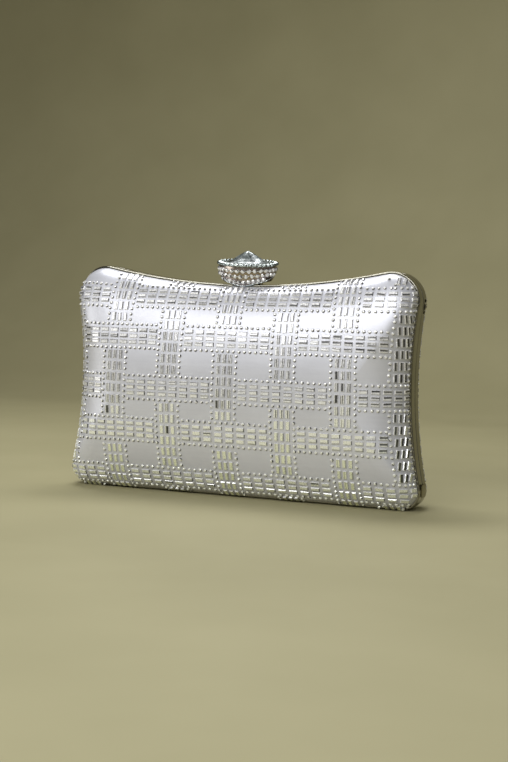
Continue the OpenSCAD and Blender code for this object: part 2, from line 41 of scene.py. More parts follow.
# ------------------------------------------------------------------ sizes (millimetres)
FOOT, CR, EH, EZ, ER, WR, DIP = 89.5, 9.4, 81.0, 104.5, 14.9, 250.0, 111.0
RT, RW, SEAM, G, BULGE, CN, PROUD = 6.0, 5.0, 0.3, 0.05, 18.4, 2.1, 1.2
SHELL, CLOTH = 1.5, 0.4
MX, MZ = 62.0, 56.5
HINGE_Z, HINGE_X, KN_R, OPEN = 2.2, 62.0, 2.0, 50.0
bc = np.array([FOOT, CR]); ec = np.array([EH, EZ])
_d = ec - bc; _L = math.hypot(*_d); _ra = WR + CR; _rb = WR + ER
_h = (_ra*_ra - _rb*_rb + _L*_L)/(2*_L); _k = math.sqrt(_ra*_ra - _h*_h); _u = _d/_L
sc = bc + _h*_u + _k*np.array([_u[1], -_u[0]])
TR = (EH*EH + (DIP-EZ)**2 - ER*ER)/(2*(ER-(DIP-EZ))); tc = np.array([0.0, DIP+TR])


def ang(a, b):
    return math.atan2(b[1]-a[1], b[0]-a[0])


A_BS = ang(bc, sc); A_ES = ang(ec, sc); A_ET = ang(ec, tc)
S0 = ang(sc, bc) % (2*math.pi); S1 = ang(sc, ec) % (2*math.pi); T0 = ang(tc, ec)


def line(t, q=1):
    """Frame outline, t inside the outer edge, counterclockwise from the middle of the bottom."""
    p = [(FOOT*i/(15*q), t) for i in range(15*q)]
    p += [(bc[0]+(CR-t)*math.cos(a), bc[1]+(CR-t)*math.sin(a)) for a in np.linspace(-math.pi/2, A_BS, 7*q+1)]
    p += [(sc[0]+(WR+t)*math.cos(a), sc[1]+(WR+t)*math.sin(a)) for a in np.linspace(S0, S1, 18*q+1)[1:]]
    p += [(ec[0]+(ER-t)*math.cos(a), ec[1]+(ER-t)*math.sin(a)) for a in np.linspace(A_ES, A_ET, 11*q+1)[1:]]
    p += [(tc[0]+(TR+t)*math.cos(a), tc[1]+(TR+t)*math.sin(a)) for a in np.linspace(T0, -math.pi/2, 15*q+1)[1:]]
    h = np.array(p, float); h[-1, 0] = 0.0
    return np.vstack([h, h[-2:0:-1]*[-1, 1]])


def spine_x(x):
    a = 0.75*np.abs(x)
    return np.sign(x)*np.where(a < MX-6, a, MX-6+6.0*np.tanh((a-MX+6)/6.0))


def spine(q=1):
    b = line(0.0, q)
    return np.stack([spine_x(b[:, 0]), np.full(len(b), MZ)], 1)


def swell(rho, d):
    return d*np.maximum(0.0, 1-np.minimum(rho, 1.0)**CN)**(1/CN)


class Skin:
    """Height field of one skin of the front pillow: t inside the outline, d deep at the middle."""

    def __init__(s, t, d, q=2):
        s.t, s.d = t, d
        o = line(t, q); m = spine(q)
        s.m2 = np.vstack([m, m[:1]]); s.v2 = np.vstack([o, o[:1]]) - s.m2

    def rho(s, x, z):
        x, z = np.broadcast_arrays(np.atleast_1d(np.asarray(x, float)), np.atleast_1d(np.asarray(z, float)))
        P = np.stack([x.ravel(), z.ravel()], 1); out = np.zeros(len(P)); v = s.v2[None]
        for a in range(0, len(P), 4000):
            p = P[a:a+4000]; r = p[:, None] - s.m2
            c = v[..., 0]*r[..., 1] - v[..., 1]*r[..., 0]; dt = (v*r).sum(-1)
            ok = (c[:, :-1] >= 0) & (c[:, 1:] < 0) & ((dt[:, :-1] > 0) | (dt[:, 1:] > 0))
            den = c[:, :-1]-c[:, 1:]
            w = np.where(ok, c[:, :-1]/np.where(np.abs(den) < 1e-12, 1, den), 0)
            m = s.m2[:-1]*(1-w)[..., None] + s.m2[1:]*w[..., None]
            v1 = s.v2[:-1]*(1-w)[..., None] + s.v2[1:]*w[..., None]
            rr = ((p[:, None]-m)*v1).sum(-1)/(v1*v1).sum(-1)
            e = np.linalg.norm(m + rr[..., None]*v1 - p[:, None], axis=-1)
            e = np.where(ok, e, 1e9); k = e.argmin(1); i = np.arange(len(p))
            out[a:a+4000] = np.where(e[i, k] < 1e8, np.maximum(rr[i, k], 0), 0)
        return out.reshape(x.shape)

    def y(s, x, z):
        return -(RT + G + swell(np.minimum(s.rho(x, z), 0.99995), s.d))

    def normal(s, x, z):
        e = 0.05
        fx = (s.y(x+e, z)-s.y(x-e, z))/(2*e); fz = (s.y(x, z+e)-s.y(x, z-e))/(2*e)
        n = np.stack([fx, -np.ones_like(fx), fz], -1)
        return n/np.linalg.norm(n, axis=-1, keepdims=True)


def side_x(z, t):
    z = np.asarray(z, float)
    zc = bc[1]+(CR-t)*math.sin(A_BS); ze = ec[1]+(ER-t)*math.sin(A_ES)
    a = bc[0]+np.sqrt(np.maximum(0, (CR-t)**2-(z-bc[1])**2))
    b = sc[0]-np.sqrt(np.maximum(0, (WR+t)**2-(z-sc[1])**2))
    c = ec[0]+np.sqrt(np.maximum(0, (ER-t)**2-(z-ec[1])**2))
    return np.where(z < zc, a, np.where(z < ze, b, c))


def top_z(x, t):
    x = np.abs(np.asarray(x, float)); xt = (TR+t)*math.cos(T0)
    return np.where(x < xt, tc[1]-np.sqrt((TR+t)**2-np.minimum(x, xt)**2), ec[1]+np.sqrt(np.maximum(0, (ER-t)**2-(x-ec[0])**2)))


class Sections:
    """Arc-length tables over a skin: s along constant x (zero at z = MZ), u along constant z (zero at x = 0)."""

    def __init__(s, sk):
        t = sk.t; th = np.linspace(0, math.pi/2, 90)
        s.xs = np.arange(-86.0, 86.01, 2.0); X = []; Z = []
        for x in s.xs:
            zt = float(top_z(x, t))
            z = np.concatenate([MZ-(MZ-t)*np.sin(th)[::-1], (MZ+(zt-MZ)*np.sin(th))[1:]])
            Z.append(z); X.append(np.full(len(z), x))
        Z = np.array(Z); X = np.array(X); Y = sk.y(X, Z); Y[:, 0] = Y[:, -1] = -(RT+G)
        S = np.concatenate([np.zeros((len(Z), 1)), np.cumsum(np.hypot(np.diff(Z, axis=1), np.diff(Y, axis=1)), 1)], 1)
        s.VZ, s.VY, s.VS = Z, Y, S - S[:, 89:90]
        s.zs = np.concatenate([np.arange(t+0.4, 8, 0.6), np.arange(8, 104, 2.0), np.arange(104, 119.0-t, 0.6)])
        XX = np.array([float(side_x(z, t))*np.sin(th) for z in s.zs]); ZZ = np.array([np.full(len(th), z) for z in s.zs])
        Y = sk.y(XX, ZZ); Y[:, -1] = -(RT+G)
        s.HX, s.HY = XX, Y; s.HU = np.concatenate([np.zeros((len(XX), 1)), np.cumsum(np.hypot(np.diff(XX, axis=1), np.diff(Y, axis=1)), 1)], 1)

    def _xi(s, x):
        x = min(max(x, s.xs[0]), s.xs[-1]); i = min(int((x-s.xs[0])/2.0), len(s.xs)-2)
        return i, (x-s.xs[i])/2.0

    def z_of(s, x, S):
        i, f = s._xi(x)
        return (1-f)*np.interp(S, s.VS[i], s.VZ[i]) + f*np.interp(S, s.VS[i+1], s.VZ[i+1])

    def s_of(s, x, z):
        i, f = s._xi(x)
        return (1-f)*np.interp(z, s.VZ[i], s.VS[i]) + f*np.interp(z, s.VZ[i+1], s.VS[i+1])

    def ends(s, x):
        i, f = s._xi(x)
        return (1-f)*s.VS[i][0]+f*s.VS[i+1][0], (1-f)*s.VS[i][-1]+f*s.VS[i+1][-1]

    def _zi(s, z):
        z = min(max(z, s.zs[0]), s.zs[-1]); i = min(max(int(np.searchsorted(s.zs, z))-1, 0), len(s.zs)-2)
        return i, (z-s.zs[i])/(s.zs[i+1]-s.zs[i])

    def x_of(s, z, u):
        i, f = s._zi(z); a = abs(u)
        return math.copysign((1-f)*np.interp(a, s.HU[i], s.HX[i]) + f*np.interp(a, s.HU[i+1], s.HX[i+1]), u)

    def u_of(s, z, x):
        i, f = s._zi(z); a = abs(x)
        return math.copysign((1-f)*np.interp(a, s.HX[i], s.HU[i]) + f*np.interp(a, s.HX[i+1], s.HU[i+1]), x)

    def u_end(s, z):
        i, f = s._zi(z)
        return (1-f)*s.HU[i][-1] + f*s.HU[i+1][-1]

    def p_v(s, x, S):
        i, f = s._xi(x); g = lambda T: (1-f)*np.interp(S, s.VS[i], T[i]) + f*np.interp(S, s.VS[i+1], T[i+1])
        return np.array([x, g(s.VY), g(s.VZ)])

    def p_h(s, z, u):
        i, f = s._zi(z); a = abs(u); g = lambda T: (1-f)*np.interp(a, s.HU[i], T[i]) + f*np.interp(a, s.HU[i+1], T[i+1])
        return np.array([math.copysign(g(s.HX), u), g(s.HY), z])

    def spot(s, fam, a, b, hu, hs):
        """Point and outward normal of a stone; None where it would hang over the edge. hu, hs: half sizes across and up."""
        e = 0.5
        if fam == "V":
            lo, hi = s.ends(a)
            if b < lo+hs or b > hi-hs:
                return None
            c = min(max(b, lo+e), hi-e)
            t1 = s.p_v(a+e, c)-s.p_v(a-e, c); t2 = s.p_v(a, c+e)-s.p_v(a, c-e); p = s.p_v(a, b)
        else:
            ue = s.u_end(a)
            if abs(b) > ue-hu:
                return None
            c = math.copysign(min(abs(b), ue-e), b)
            t1 = s.p_h(a, c+e)-s.p_h(a, c-e); t2 = s.p_h(a+e, c)-s.p_h(a-e, c); p = s.p_h(a, b)
        n = np.cross(t1, t2); n /= np.linalg.norm(n)
        return p-0.5*n, n


# ------------------------------------------------------------------ materials
def new_mat(name):
    m = bpy.data.materials.new(name); m.use_nodes = True
    nt = m.node_tree
    return m, nt, nt.nodes["Principled BSDF"]


def ramp(nt, fac, stops):
    r = nt.nodes.new("ShaderNodeValToRGB"); e = r.color_ramp.elements
    while len(e) < len(stops):
        e.new(0.5)
    for el, (p, c) in zip(e, stops):
        el.position = p; el.color = (*c, 1)
    nt.links.new(fac, r.inputs["Fac"])
    return r.outputs["Color"]


def to_range(nt, fac, a, b, lo=0.0, hi=1.0):
    r = nt.nodes.new("ShaderNodeMapRange")
    r.inputs["From Min"].default_value = lo; r.inputs["From Max"].default_value = hi
    r.inputs["To Min"].default_value = a; r.inputs["To Max"].default_value = b
    nt.links.new(fac, r.inputs["Value"])
    return r.outputs["Result"]


def coords(nt, scale=(1, 1, 1), rot=(0, 0, 0)):
    c = nt.nodes.new("ShaderNodeTexCoord"); m = nt.nodes.new("ShaderNodeMapping")
    m.inputs["Scale"].default_value = scale; m.inputs["Rotation"].default_value = rot
    nt.links.new(c.outputs["Object"], m.inputs["Vector"])
    return m.outputs["Vector"]


def noise(nt, vec, scale, detail=3.0, rough=0.5):
    n = nt.nodes.new("ShaderNodeTexNoise")
    n.inputs["Scale"].default_value = scale; n.inputs["Detail"].default_value = detail; n.inputs["Roughness"].default_value = rough
    nt.links.new(vec, n.inputs["Vector"])
    return n.outputs["Fac"]


def wave(nt, vec, scale, direction="X", dist=0.0):
    n = nt.nodes.new("ShaderNodeTexWave"); n.bands_direction = direction
    n.inputs["Scale"].default_value = scale; n.inputs["Distortion"].default_value = dist
    n.inputs["Detail"].default_value = 1.0
    nt.links.new(vec, n.inputs["Vector"])
    return n.outputs["Fac"]


def maths(nt, op, a, b):
    n = nt.nodes.new("ShaderNodeMath"); n.operation = op
    for i, v in enumerate((a, b)):
        if isinstance(v, (int, float)):
            n.inputs[i].default_value = v
        else:
            nt.links.new(v, n.inputs[i])
    return n.outputs[0]


def bump(nt, p, height, strength, dist=0.0001):
    b = nt.nodes.new("ShaderNodeBump")
    b.inputs["Strength"].default_value = strength; b.inputs["Distance"].default_value = dist
    nt.links.new(height, b.inputs["Height"]); nt.links.new(b.outputs["Normal"], p.inputs["Normal"])


def cloth_mat(name, dark, light, rough, sheen, thread, strength, spec=0.5, metallic=0.0):
    m, nt, p = new_mat(name); v = coords(nt)
    warp = wave(nt, v, 0.5/thread*2.0, "X", 0.6); weft = wave(nt, v, 0.5/thread*2.0, "Z", 0.6)
    weave = maths(nt, "ADD", maths(nt, "MULTIPLY", warp, 0.7), maths(nt, "MULTIPLY", weft, 0.3))
    mott = noise(nt, v, 26.0, 4.0, 0.55); slub = noise(nt, coords(nt, (60, 60, 900)), 1.0, 2.0)
    f = maths(nt, "ADD", maths(nt, "MULTIPLY", mott, 0.55), maths(nt, "ADD", maths(nt, "MULTIPLY", weave, 0.2), maths(nt, "MULTIPLY", slub, 0.25)))
    nt.links.new(ramp(nt, f, [(0.3, dark), (0.7, light)]), p.inputs["Base Color"])
    nt.links.new(to_range(nt, f, rough-0.06, rough+0.06, 0.3, 0.7), p.inputs["Roughness"])
    p.inputs["Sheen Weight"].default_value = sheen; p.inputs["Sheen Roughness"].default_value = 0.35
    p.inputs["Specular IOR Level"].default_value = spec; p.inputs["Metallic"].default_value = metallic
    bump(nt, p, maths(nt, "ADD", weave, maths(nt, "MULTIPLY", slub, 0.6)), strength, thread*0.12)
    return m


def metal_mat(name, dark, light, rough, spread=0.06, grain=(300, 300, 300), strength=0.12, nscale=1.0):
    m, nt, p = new_mat(name)
    streak = noise(nt, coords(nt, grain), nscale, 3.0, 0.6); cloud = noise(nt, coords(nt), 45.0, 4.0, 0.6)
    f = maths(nt, "ADD", maths(nt, "MULTIPLY", streak, 0.5), maths(nt, "MULTIPLY", cloud, 0.5))
    nt.links.new(ramp(nt, f, [(0.32, dark), (0.68, light)]), p.inputs["Base Color"])
    nt.links.new(to_range(nt, f, max(0.02, rough-spread), rough+spread, 0.3, 0.7), p.inputs["Roughness"])
    p.inputs["Metallic"].default_value = 1.0
    bump(nt, p, streak, strength, 0.00003)
    return m


def stone_mat(name, stops, rough, metallic=1.0, coat=0.6):
    """Foiled cut glass: each facet's painted light and shade, standing in for reflections of the lights in the foil,
    comes from the mesh.
    """
    m, nt, p = new_mat(name)
    a = nt.nodes.new("ShaderNodeAttribute"); a.attribute_name = "painted_facet_light"
    cl = noise(nt, coords(nt), 900.0, 2.0, 0.5)
    f = maths(nt, "ADD", a.outputs["Fac"], maths(nt, "MULTIPLY", maths(nt, "SUBTRACT", cl, 0.5), 0.05))
    # painted floor reflection: a yellow-green tint multiplied in by a mesh attribute
    w = nt.nodes.new("ShaderNodeAttribute"); w.attribute_name = "painted_floor_tint"
    mx = nt.nodes.new("ShaderNodeMix"); mx.data_type = "RGBA"; mx.blend_type = "MULTIPLY"
    nt.links.new(w.outputs["Fac"], mx.inputs["Factor"]); nt.links.new(ramp(nt, f, stops), mx.inputs["A"])
    mx.inputs["B"].default_value = (0.88, 0.92, 0.62, 1)
    nt.links.new(mx.outputs["Result"], p.inputs["Base Color"])
    nt.links.new(to_range(nt, cl, rough*0.6, rough*1.5, 0.3, 0.7), p.inputs["Roughness"])
    p.inputs["Metallic"].default_value = metallic
    p.inputs["Coat Weight"].default_value = coat; p.inputs["Coat Roughness"].default_value = 0.04
    return m


SATIN = cloth_mat("satin", (0.63, 0.64, 0.71), (0.71, 0.72, 0.79), 0.40, 0.10, 0.0003, 0.06, 0.7, 0.45)
LINING = cloth_mat("lining_cloth", (0.42, 0.42, 0.45), (0.56, 0.56, 0.59), 0.55, 0.3, 0.0005, 0.2, 0.4)
BINDING = cloth_mat("binding_cloth", (0.50, 0.50, 0.53), (0.64, 0.64, 0.67), 0.5, 0.3, 0.0005, 0.25, 0.4)
# seam guard metal: a darker olive copy of the frame metal, a painted dark olive reflection
GUARD_PAINTED_REFLECTION = metal_mat("guard_metal_painted_reflection", (0.15, 0.135, 0.08), (0.24, 0.22, 0.14), 0.22, 0.05, (60, 60, 900), 0.08)
# rail metal: silver metal darkened and tinted olive-grey, partly its own colour and partly a painted reflection of an
# olive backdrop
RAIL_PAINTED_REFLECTION = metal_mat("rail_metal", (0.27, 0.26, 0.215), (0.40, 0.385, 0.325), 0.13, 0.05, (40, 900, 900), 0.05)
CUP = metal_mat("cup_metal", (0.32, 0.26, 0.22), (0.48, 0.42, 0.37), 0.22, 0.06, (200, 200, 60), 0.08)
# darker copy of the cup metal for the plain rear wall: painted shade
CUP_PLAIN_PAINTED_SHADE = metal_mat("cup_plain_metal_painted_shade", (0.10, 0.07, 0.05), (0.22, 0.15, 0.11), 0.18, 0.05, (200, 200, 60), 0.05)
BEZEL = metal_mat("bezel_metal", (0.20, 0.23, 0.225), (0.40, 0.44, 0.43), 0.20, 0.08, (500, 500, 500), 0.10)
# lighter, cyan-tinted copy of the metal for the cup's rolled edge, beads and catch plate: painted highlight
BRIGHT_PAINTED_HIGHLIGHT = metal_mat("light_metal_painted_highlight", (0.62, 0.67, 0.67), (0.80, 0.85, 0.85), 0.12, 0.05, (300, 300, 300), 0.05)
STEEL = metal_mat("hinge_steel", (0.38, 0.38, 0.40), (0.56, 0.56, 0.58), 0.28, 0.08, (900, 60, 60), 0.2)
DARKMETAL = metal_mat("lug_metal", (0.30, 0.28, 0.24), (0.46, 0.44, 0.39), 0.22, 0.08, (200, 200, 200), 0.15)
BAG_ST = stone_mat("baguette_glass", [(0.0, (0.012, 0.012, 0.012)), (0.35, (0.13, 0.13, 0.14)), (0.65, (0.52, 0.52, 0.54)), (1.0, (0.98, 0.98, 1.0))], 0.28, 0.40)
RND_ST = stone_mat("round_glass", [(0.0, (0.02, 0.02, 0.02)), (0.35, (0.20, 0.20, 0.21)), (0.6, (0.66, 0.66, 0.68)), (1.0, (1.0, 1.0, 1.0))], 0.18, 0.35)
GEM = stone_mat("crystal", [(0.0, (0.012, 0.016, 0.018)), (0.4, (0.07, 0.085, 0.085)), (0.7, (0.19, 0.22, 0.22)), (1.0, (0.44, 0.475, 0.49))], 0.24, 0.25, 0.12)


def board_mat():
    m, nt, p = new_mat("shell_board"); v = coords(nt)
    f = noise(nt, v, 700.0, 4.0, 0.7)
    nt.links.new(ramp(nt, f, [(0.3, (0.24, 0.23, 0.22)), (0.7, (0.38, 0.37, 0.35))]), p.inputs["Base Color"])
    nt.links.new(to_range(nt, f, 0.75, 0.95), p.inputs["Roughness"])
    bump(nt, p, f, 0.3, 0.0001)
    return m


BOARD = board_mat()


# ------------------------------------------------------------------ mesh helpers
def make(name, verts, faces, mat, body=None, repl=(), sharp=None, painted_facet_light=None, painted_floor_tint=None):
    me = bpy.data.meshes.new(name)
    me.from_pydata((np.asarray(verts, float)*0.001).tolist(), [], faces)
    me.polygons.foreach_set("use_smooth", [sharp != "flat"]*len(me.polygons))
    me.update()
    if isinstance(sharp, (int, float)):
        me.set_sharp_from_angle(angle=math.radians(sharp))
    if painted_facet_light is not None:
        # per-facet painted light and shade, and a painted floor-reflection tint
        at = me.attributes.new("painted_facet_light", "FLOAT", "FACE"); at.data.foreach_set("value", np.asarray(painted_facet_light, float))
        at = me.attributes.new("painted_floor_tint", "FLOAT", "FACE"); at.data.foreach_set("value", np.asarray(painted_floor_tint if painted_floor_tint is not None else np.zeros(len(faces)), float))
    me.materials.append(mat)
    ob = bpy.data.objects.new(name, me); bpy.context.scene.collection.objects.link(ob)
    if body:
        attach(ob, body)
    if repl:
        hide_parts(*repl)
    return ob


def rho_rows(n=26):
    a = np.linspace(math.pi/2, 0.1, n)
    return np.sin(a)


HUB = np.array([-MX, -30.0, 0.0, 30.0, MX])


def pillow(t0, d0, t1, d1, s, q=2, n=26):
    """Closed shell between an outer and an inner skin; s = -1 front, 1 back."""
    rows = rho_rows(n); K = len(rows); m = spine(q); N = len(m)

    def skin(t, d):
        o = line(t, q)
        P = [np.stack([(m+r*(o-m))[:, 0], np.full(N, s*(RT+G+swell(np.array(r), d))), (m+r*(o-m))[:, 1]], 1) for r in rows]
        H = np.stack([HUB, np.full(5, s*(RT+G+d)), np.full(5, MZ)], 1)
        return np.vstack(P + [H])
    V = np.vstack([skin(t0, d0), skin(t1, d1)]); off = K*N+5
    own = np.abs(m[:, :1] - HUB[None]).argmin(1)
    F = []
    for b, r in ((0, False), (off, True)):
        for k in range(K-1):
            for i in range(N):
                j = (i+1) % N
                f = [b+k*N+i, b+k*N+j, b+(k+1)*N+j, b+(k+1)*N+i]
                F.append(f[::-1] if r else f)
        e = b+(K-1)*N; h = b+K*N
        for i in range(N):
            j = (i+1) % N
            f = [e+i, e+j, h+own[i]]
            F.append(f[::-1] if r else f)
            if own[i] != own[j]:
                lo_, hi_ = own[i], own[j]
                f = [e+j, h+hi_, h+lo_]
                F.append(f[::-1] if r else f)
    for i in range(N):
        j = (i+1) % N
        F.append([i, off+i, off+j, j])
    if s < 0:
        F = [f[::-1] for f in F]
    return V, [[int(x) for x in f] for f in F]


# ------------------------------------------------------------------ satin, boards and linings
LT = PROUD+CLOTH+SHELL+G; LD = BULGE-CLOTH-SHELL-G
halves = (("front", -1, "front_half"), ("back", 1, "back_half"))
for nm, s, body in halves:
    V, F = pillow(PROUD, BULGE, PROUD+CLOTH, BULGE-CLOTH, s)
    half = (len(F) - len(line(0, 2)))//2
    cover = make(nm+"_satin", V, F, SATIN, body, (nm+"_cover",), sharp=50)
    V, F = pillow(PROUD+CLOTH+G, BULGE-CLOTH-G, PROUD+CLOTH+SHELL, BULGE-CLOTH-SHELL, s)
    make(nm+"_board", V, F, BOARD, body, (nm+"_shell",), sharp=50)
    V, F = pillow(LT, LD, LT+CLOTH, LD-CLOTH, s)
    lining = make(nm+"_lining_cloth", V, F, LINING, body, (nm+"_lining",), sharp=50)


# ------------------------------------------------------------------ slip pocket on the back lining
def sheet_grid(P0, P1):
    """Closed thin sheet between two grids of points."""
    nu, nv = P0.shape[:2]; M = nu*nv
    V = np.vstack([P0.reshape(-1, 3), P1.reshape(-1, 3)]); F = []
    o = lambda u, v: u*nv+v
    for u in range(nu-1):
        for v in range(nv-1):
            F.append([o(u, v), o(u+1, v), o(u+1, v+1), o(u, v+1)])
            F.append([M+o(u, v), M+o(u, v+1), M+o(u+1, v+1), M+o(u+1, v)])
    for u in range(nu-1):
        F.append([o(u, 0), M+o(u, 0), M+o(u+1, 0), o(u+1, 0)])
        F.append([o(u, nv-1), o(u+1, nv-1), M+o(u+1, nv-1), M+o(u, nv-1)])
    for v in range(nv-1):
        F.append([o(0, v), o(0, v+1), M+o(0, v+1), M+o(0, v)])
        F.append([o(nu-1, v), M+o(nu-1, v), M+o(nu-1, v+1), o(nu-1, v+1)])
    return V, F


def fix_normals(ob):
    import bmesh
    bm = bmesh.new(); bm.from_mesh(ob.data); bmesh.ops.recalc_face_normals(bm, faces=bm.faces); bm.to_mesh(ob.data); bm.free()


lin_in = Skin(LT+CLOTH, LD-CLOTH)
gx = np.linspace(-44, 44, 67); gz = np.linspace(24, 74, 40)
X, Z = np.meshgrid(gx, gz, indexing="ij")
Y = -lin_in.y(X, Z)
edge_d = np.minimum(np.minimum(44-np.abs(X), Z-24), 5.0)/5.0
puff = 0.16 + 0.95*np.sin(edge_d*math.pi/2)
stitch = 0.10*np.exp(-((44-np.abs(X)-1.6)/0.45)**2)*(np.sin(Z*2*math.pi/2.2) > -0.2) + 0.10*np.exp(-((Z-25.6)/0.45)**2)*(np.sin(X*2*math.pi/2.2) > -0.2)
P0 = np.stack([X, Y-puff-0.40+stitch, Z], -1); P1 = np.stack([X, Y-puff+stitch*0, Z], -1)
V, F = sheet_grid(P0, P1)
pocket = make("slip_pocket_cloth", V, F, LINING, "back_half", ("slip_pocket",), sharp=60); fix_normals(pocket)
# binding: a folded strip, round in section, over the pocket's mouth
gu = np.linspace(-44, 44, 67); K = 14; V = []; F = []
for i, x in enumerate(gu):
    y0 = -lin_in.y(x, 75.2)[0] - 1.32 + (0 if abs(x) < 42 else 0.8*((abs(x)-42)/2)**2)
    for k in range(K):
        a = 2*math.pi*k/K
        V.append((x, y0+0.42*math.cos(a)*(1+0.06*math.sin(x*4.1)), 75.2+1.15*math.copysign(abs(math.sin(a))**0.7, math.sin(a))))
for i in range(len(gu)-1):
    for k in range(K):
        F.append([i*K+k, i*K+(k+1) % K, (i+1)*K+(k+1) % K, (i+1)*K+k])
F.append([k for k in range(K)][::-1]); F.append([(len(gu)-1)*K+k for k in range(K)])
binding = make("pocket_binding_cloth", V, F, BINDING, "back_half", ("pocket_binding",), sharp=60); fix_normals(binding)


# ------------------------------------------------------------------ rails
def cutter(boxes, prisms=()):
    V = []; F = []
    for (x0, y0, z0), (x1, y1, z1) in boxes:
        b = len(V)
        V += [(x0, y0, z0), (x1, y0, z0), (x1, y1, z0), (x0, y1, z0), (x0, y0, z1), (x1, y0, z1), (x1, y1, z1), (x0, y1, z1)]
        F += [[b+i for i in f] for f in ([3, 2, 1, 0], [4, 5, 6, 7], [0, 1, 5, 4], [1, 2, 6, 5], [2, 3, 7, 6], [3, 0, 4, 7])]
    for pts in prisms:      # polygon in y,z swept along x
        b = len(V); n = len(pts)
        V += [(-115, y, z) for y, z in pts] + [(115, y, z) for y, z in pts]
        F += [[b+i for i in range(n)][::-1], [b+n+i for i in range(n)]]
        F += [[b+i, b+(i+1) % n, b+n+(i+1) % n, b+n+i] for i in range(n)]
    ob = make("cut_tmp", V, F, RAIL_PAINTED_REFLECTION); fix_normals(ob)
    return ob


def carve(ob, cut):
    md = ob.modifiers.new("cut", "BOOLEAN"); md.operation = "DIFFERENCE"; md.solver = "EXACT"; md.use_self = True; md.object = cut
    bpy.context.view_layer.update()
    dg = bpy.context.evaluated_depsgraph_get()
    me = bpy.data.meshes.new_from_object(ob.evaluated_get(dg), depsgraph=dg)
    ob.modifiers.clear(); old = ob.data; ob.data = me; bpy.data.meshes.remove(old)
    bpy.data.objects.remove(cut, do_unlink=True)
    me.polygons.foreach_set("use_smooth", [True]*len(me.polygons)); me.set_sharp_from_angle(angle=math.radians(28))


def rail(nm, s, body):
    # section: flat outer face, rounded edges; (t, y) counterclockwise
    y0, y1 = SEAM/2, RT; r0, r1 = 0.40, 0.55; prof = []
    for a in np.linspace(0, 90, 6):
        prof.append((r0-r0*math.sin(math.radians(a)), y0+r0-r0*math.cos(math.radians(a))))
    for w in np.linspace(0.15, 0.85, 6):
        prof.append((0.0, y0+r0+(y1-r1-y0-r0)*w))
    for a in np.linspace(0, 90, 8):
        prof.append((r1-r1*math.cos(math.radians(a)), y1-r1+r1*math.sin(math.radians(a))))
    prof += [(RW-0.3, y1), (RW, y1-0.3), (RW, y0+0.3), (RW-0.3, y0)]
    q = 3; V = []; F = []; N = len(line(0, q)); K = len(prof)
    for t, y in prof:
        o = line(t, q); V += [(p[0], s*y, p[1]) for p in o]
    for k in range(K):
        for i in range(N):
            F.append([k*N+i, k*N+(i+1) % N, ((k+1) % K)*N+(i+1) % N, ((k+1) % K)*N+i])
    ob = make(nm+"_rail", V, F, RAIL_PAINTED_REFLECTION, body, (nm+"_frame",), sharp=28); fix_normals(ob)
    hl = 13.6/2; boxes = []
    for sd in (-1, 1):
        xa = sd*HINGE_X-hl-0.4
        boxes.append(((xa, -2.4 if s < 0 else -1, -1), (xa+2*hl+0.8, 1.0 if s < 0 else 2.4, RW+1.0)))
    w = SEAM/2+(HINGE_Z+0.5)*math.tan(math.radians(OPEN/2))
    pr = [[(s*SEAM/2, HINGE_Z), (s*w, -0.5), (-s*1, -0.5), (-s*1, HINGE_Z)]]
    if s < 0:
        boxes.append(((-6, -7, DIP-0.9), (6, -3, DIP+2.1)))
    else:
        boxes.append(((-8, -0.5, DIP-0.6), (8, 6.5, DIP+2.4)))
        for sd in (-1, 1):
            xa = 86 if sd > 0 else -106
            boxes.append(((xa, 2.2, 98.7), (xa+20, 4.6, 105.9)))
    carve(ob, cutter(boxes, pr))
    return ob


for nm, s, body in halves:
    rail(nm, s, body)


# ------------------------------------------------------------------ set stones
satin_skin = Skin(PROUD, BULGE); mid_skin = Skin(0.7, 18.9); sec = Sections(mid_skin)
S_ROW = [48.9, 26.65, -0.1, -22.75, -49.5]; S_TILT = [0.008, 0.003, 0.004, 0.003, 0.004]; S_HALF = 6.2
VZ = [12.0, 48.0, 70.0, 100.0, 112.0]
VX = {1: [-65.7, -66.0, -65.2, -63.9, -63.2], 2: [-33.6, -33.9, -33.6, -33.0, -32.9], 3: [-1.4, -1.7, -1.6, -1.6, -1.6],
      4: [31.4, 30.8, 30.5, 30.3, 30.3], 5: [64.3, 63.4, 62.9, 62.0, 61.1]}
COL_B, COL_R = 3.25, 6.45


def v_centre(k, z):
    """Arc position of an upright band's centre line at height z."""
    if k in (0, 6):
        return math.copysign(sec.u_end(z) - 8.5, k-3)
    return sec.u_of(z, float(np.interp(z, VZ, VX[k])))


bag, rnd = [], []      # (family, a, b, kind): a, b are x and arc up the section (V), or z and arc across it (H)


def v_seg(k, s0, s1, rows, start=None):
    """rows baguettes high between arc positions s0 and s1, with twice as many rounds on either side."""
    edge = k in (0, 6); xref = {0: -84.0, 6: 84.0}.get(k)
    span = s1-s0; pitch = min(3.07, (span-1.6)/(2*rows)) if start is None else 3.0
    first = s0+(span-pitch*(2*rows-1))/2 if start is None else start

    def put(lst, s, off):
        xc = xref if edge else float(np.interp(56, VZ, VX[k])); z = sec.z_of(xc, s)
        if not edge:
            xc = float(np.interp(z, VZ, VX[k])); z = sec.z_of(xc, s)
        u = v_centre(k, z)+off
        lst.append(("H", z, u, "V") if edge else ("V", sec.x_of(z, u), s, "V"))
    for i in range(2*rows):
        for sd in (-1, 1):
            put(rnd, first+i*pitch, sd*COL_R)
    for i in range(rows):
        for c in (-1, 0, 1):
            put(bag, first+(2*i+0.5)*pitch, c*COL_B)


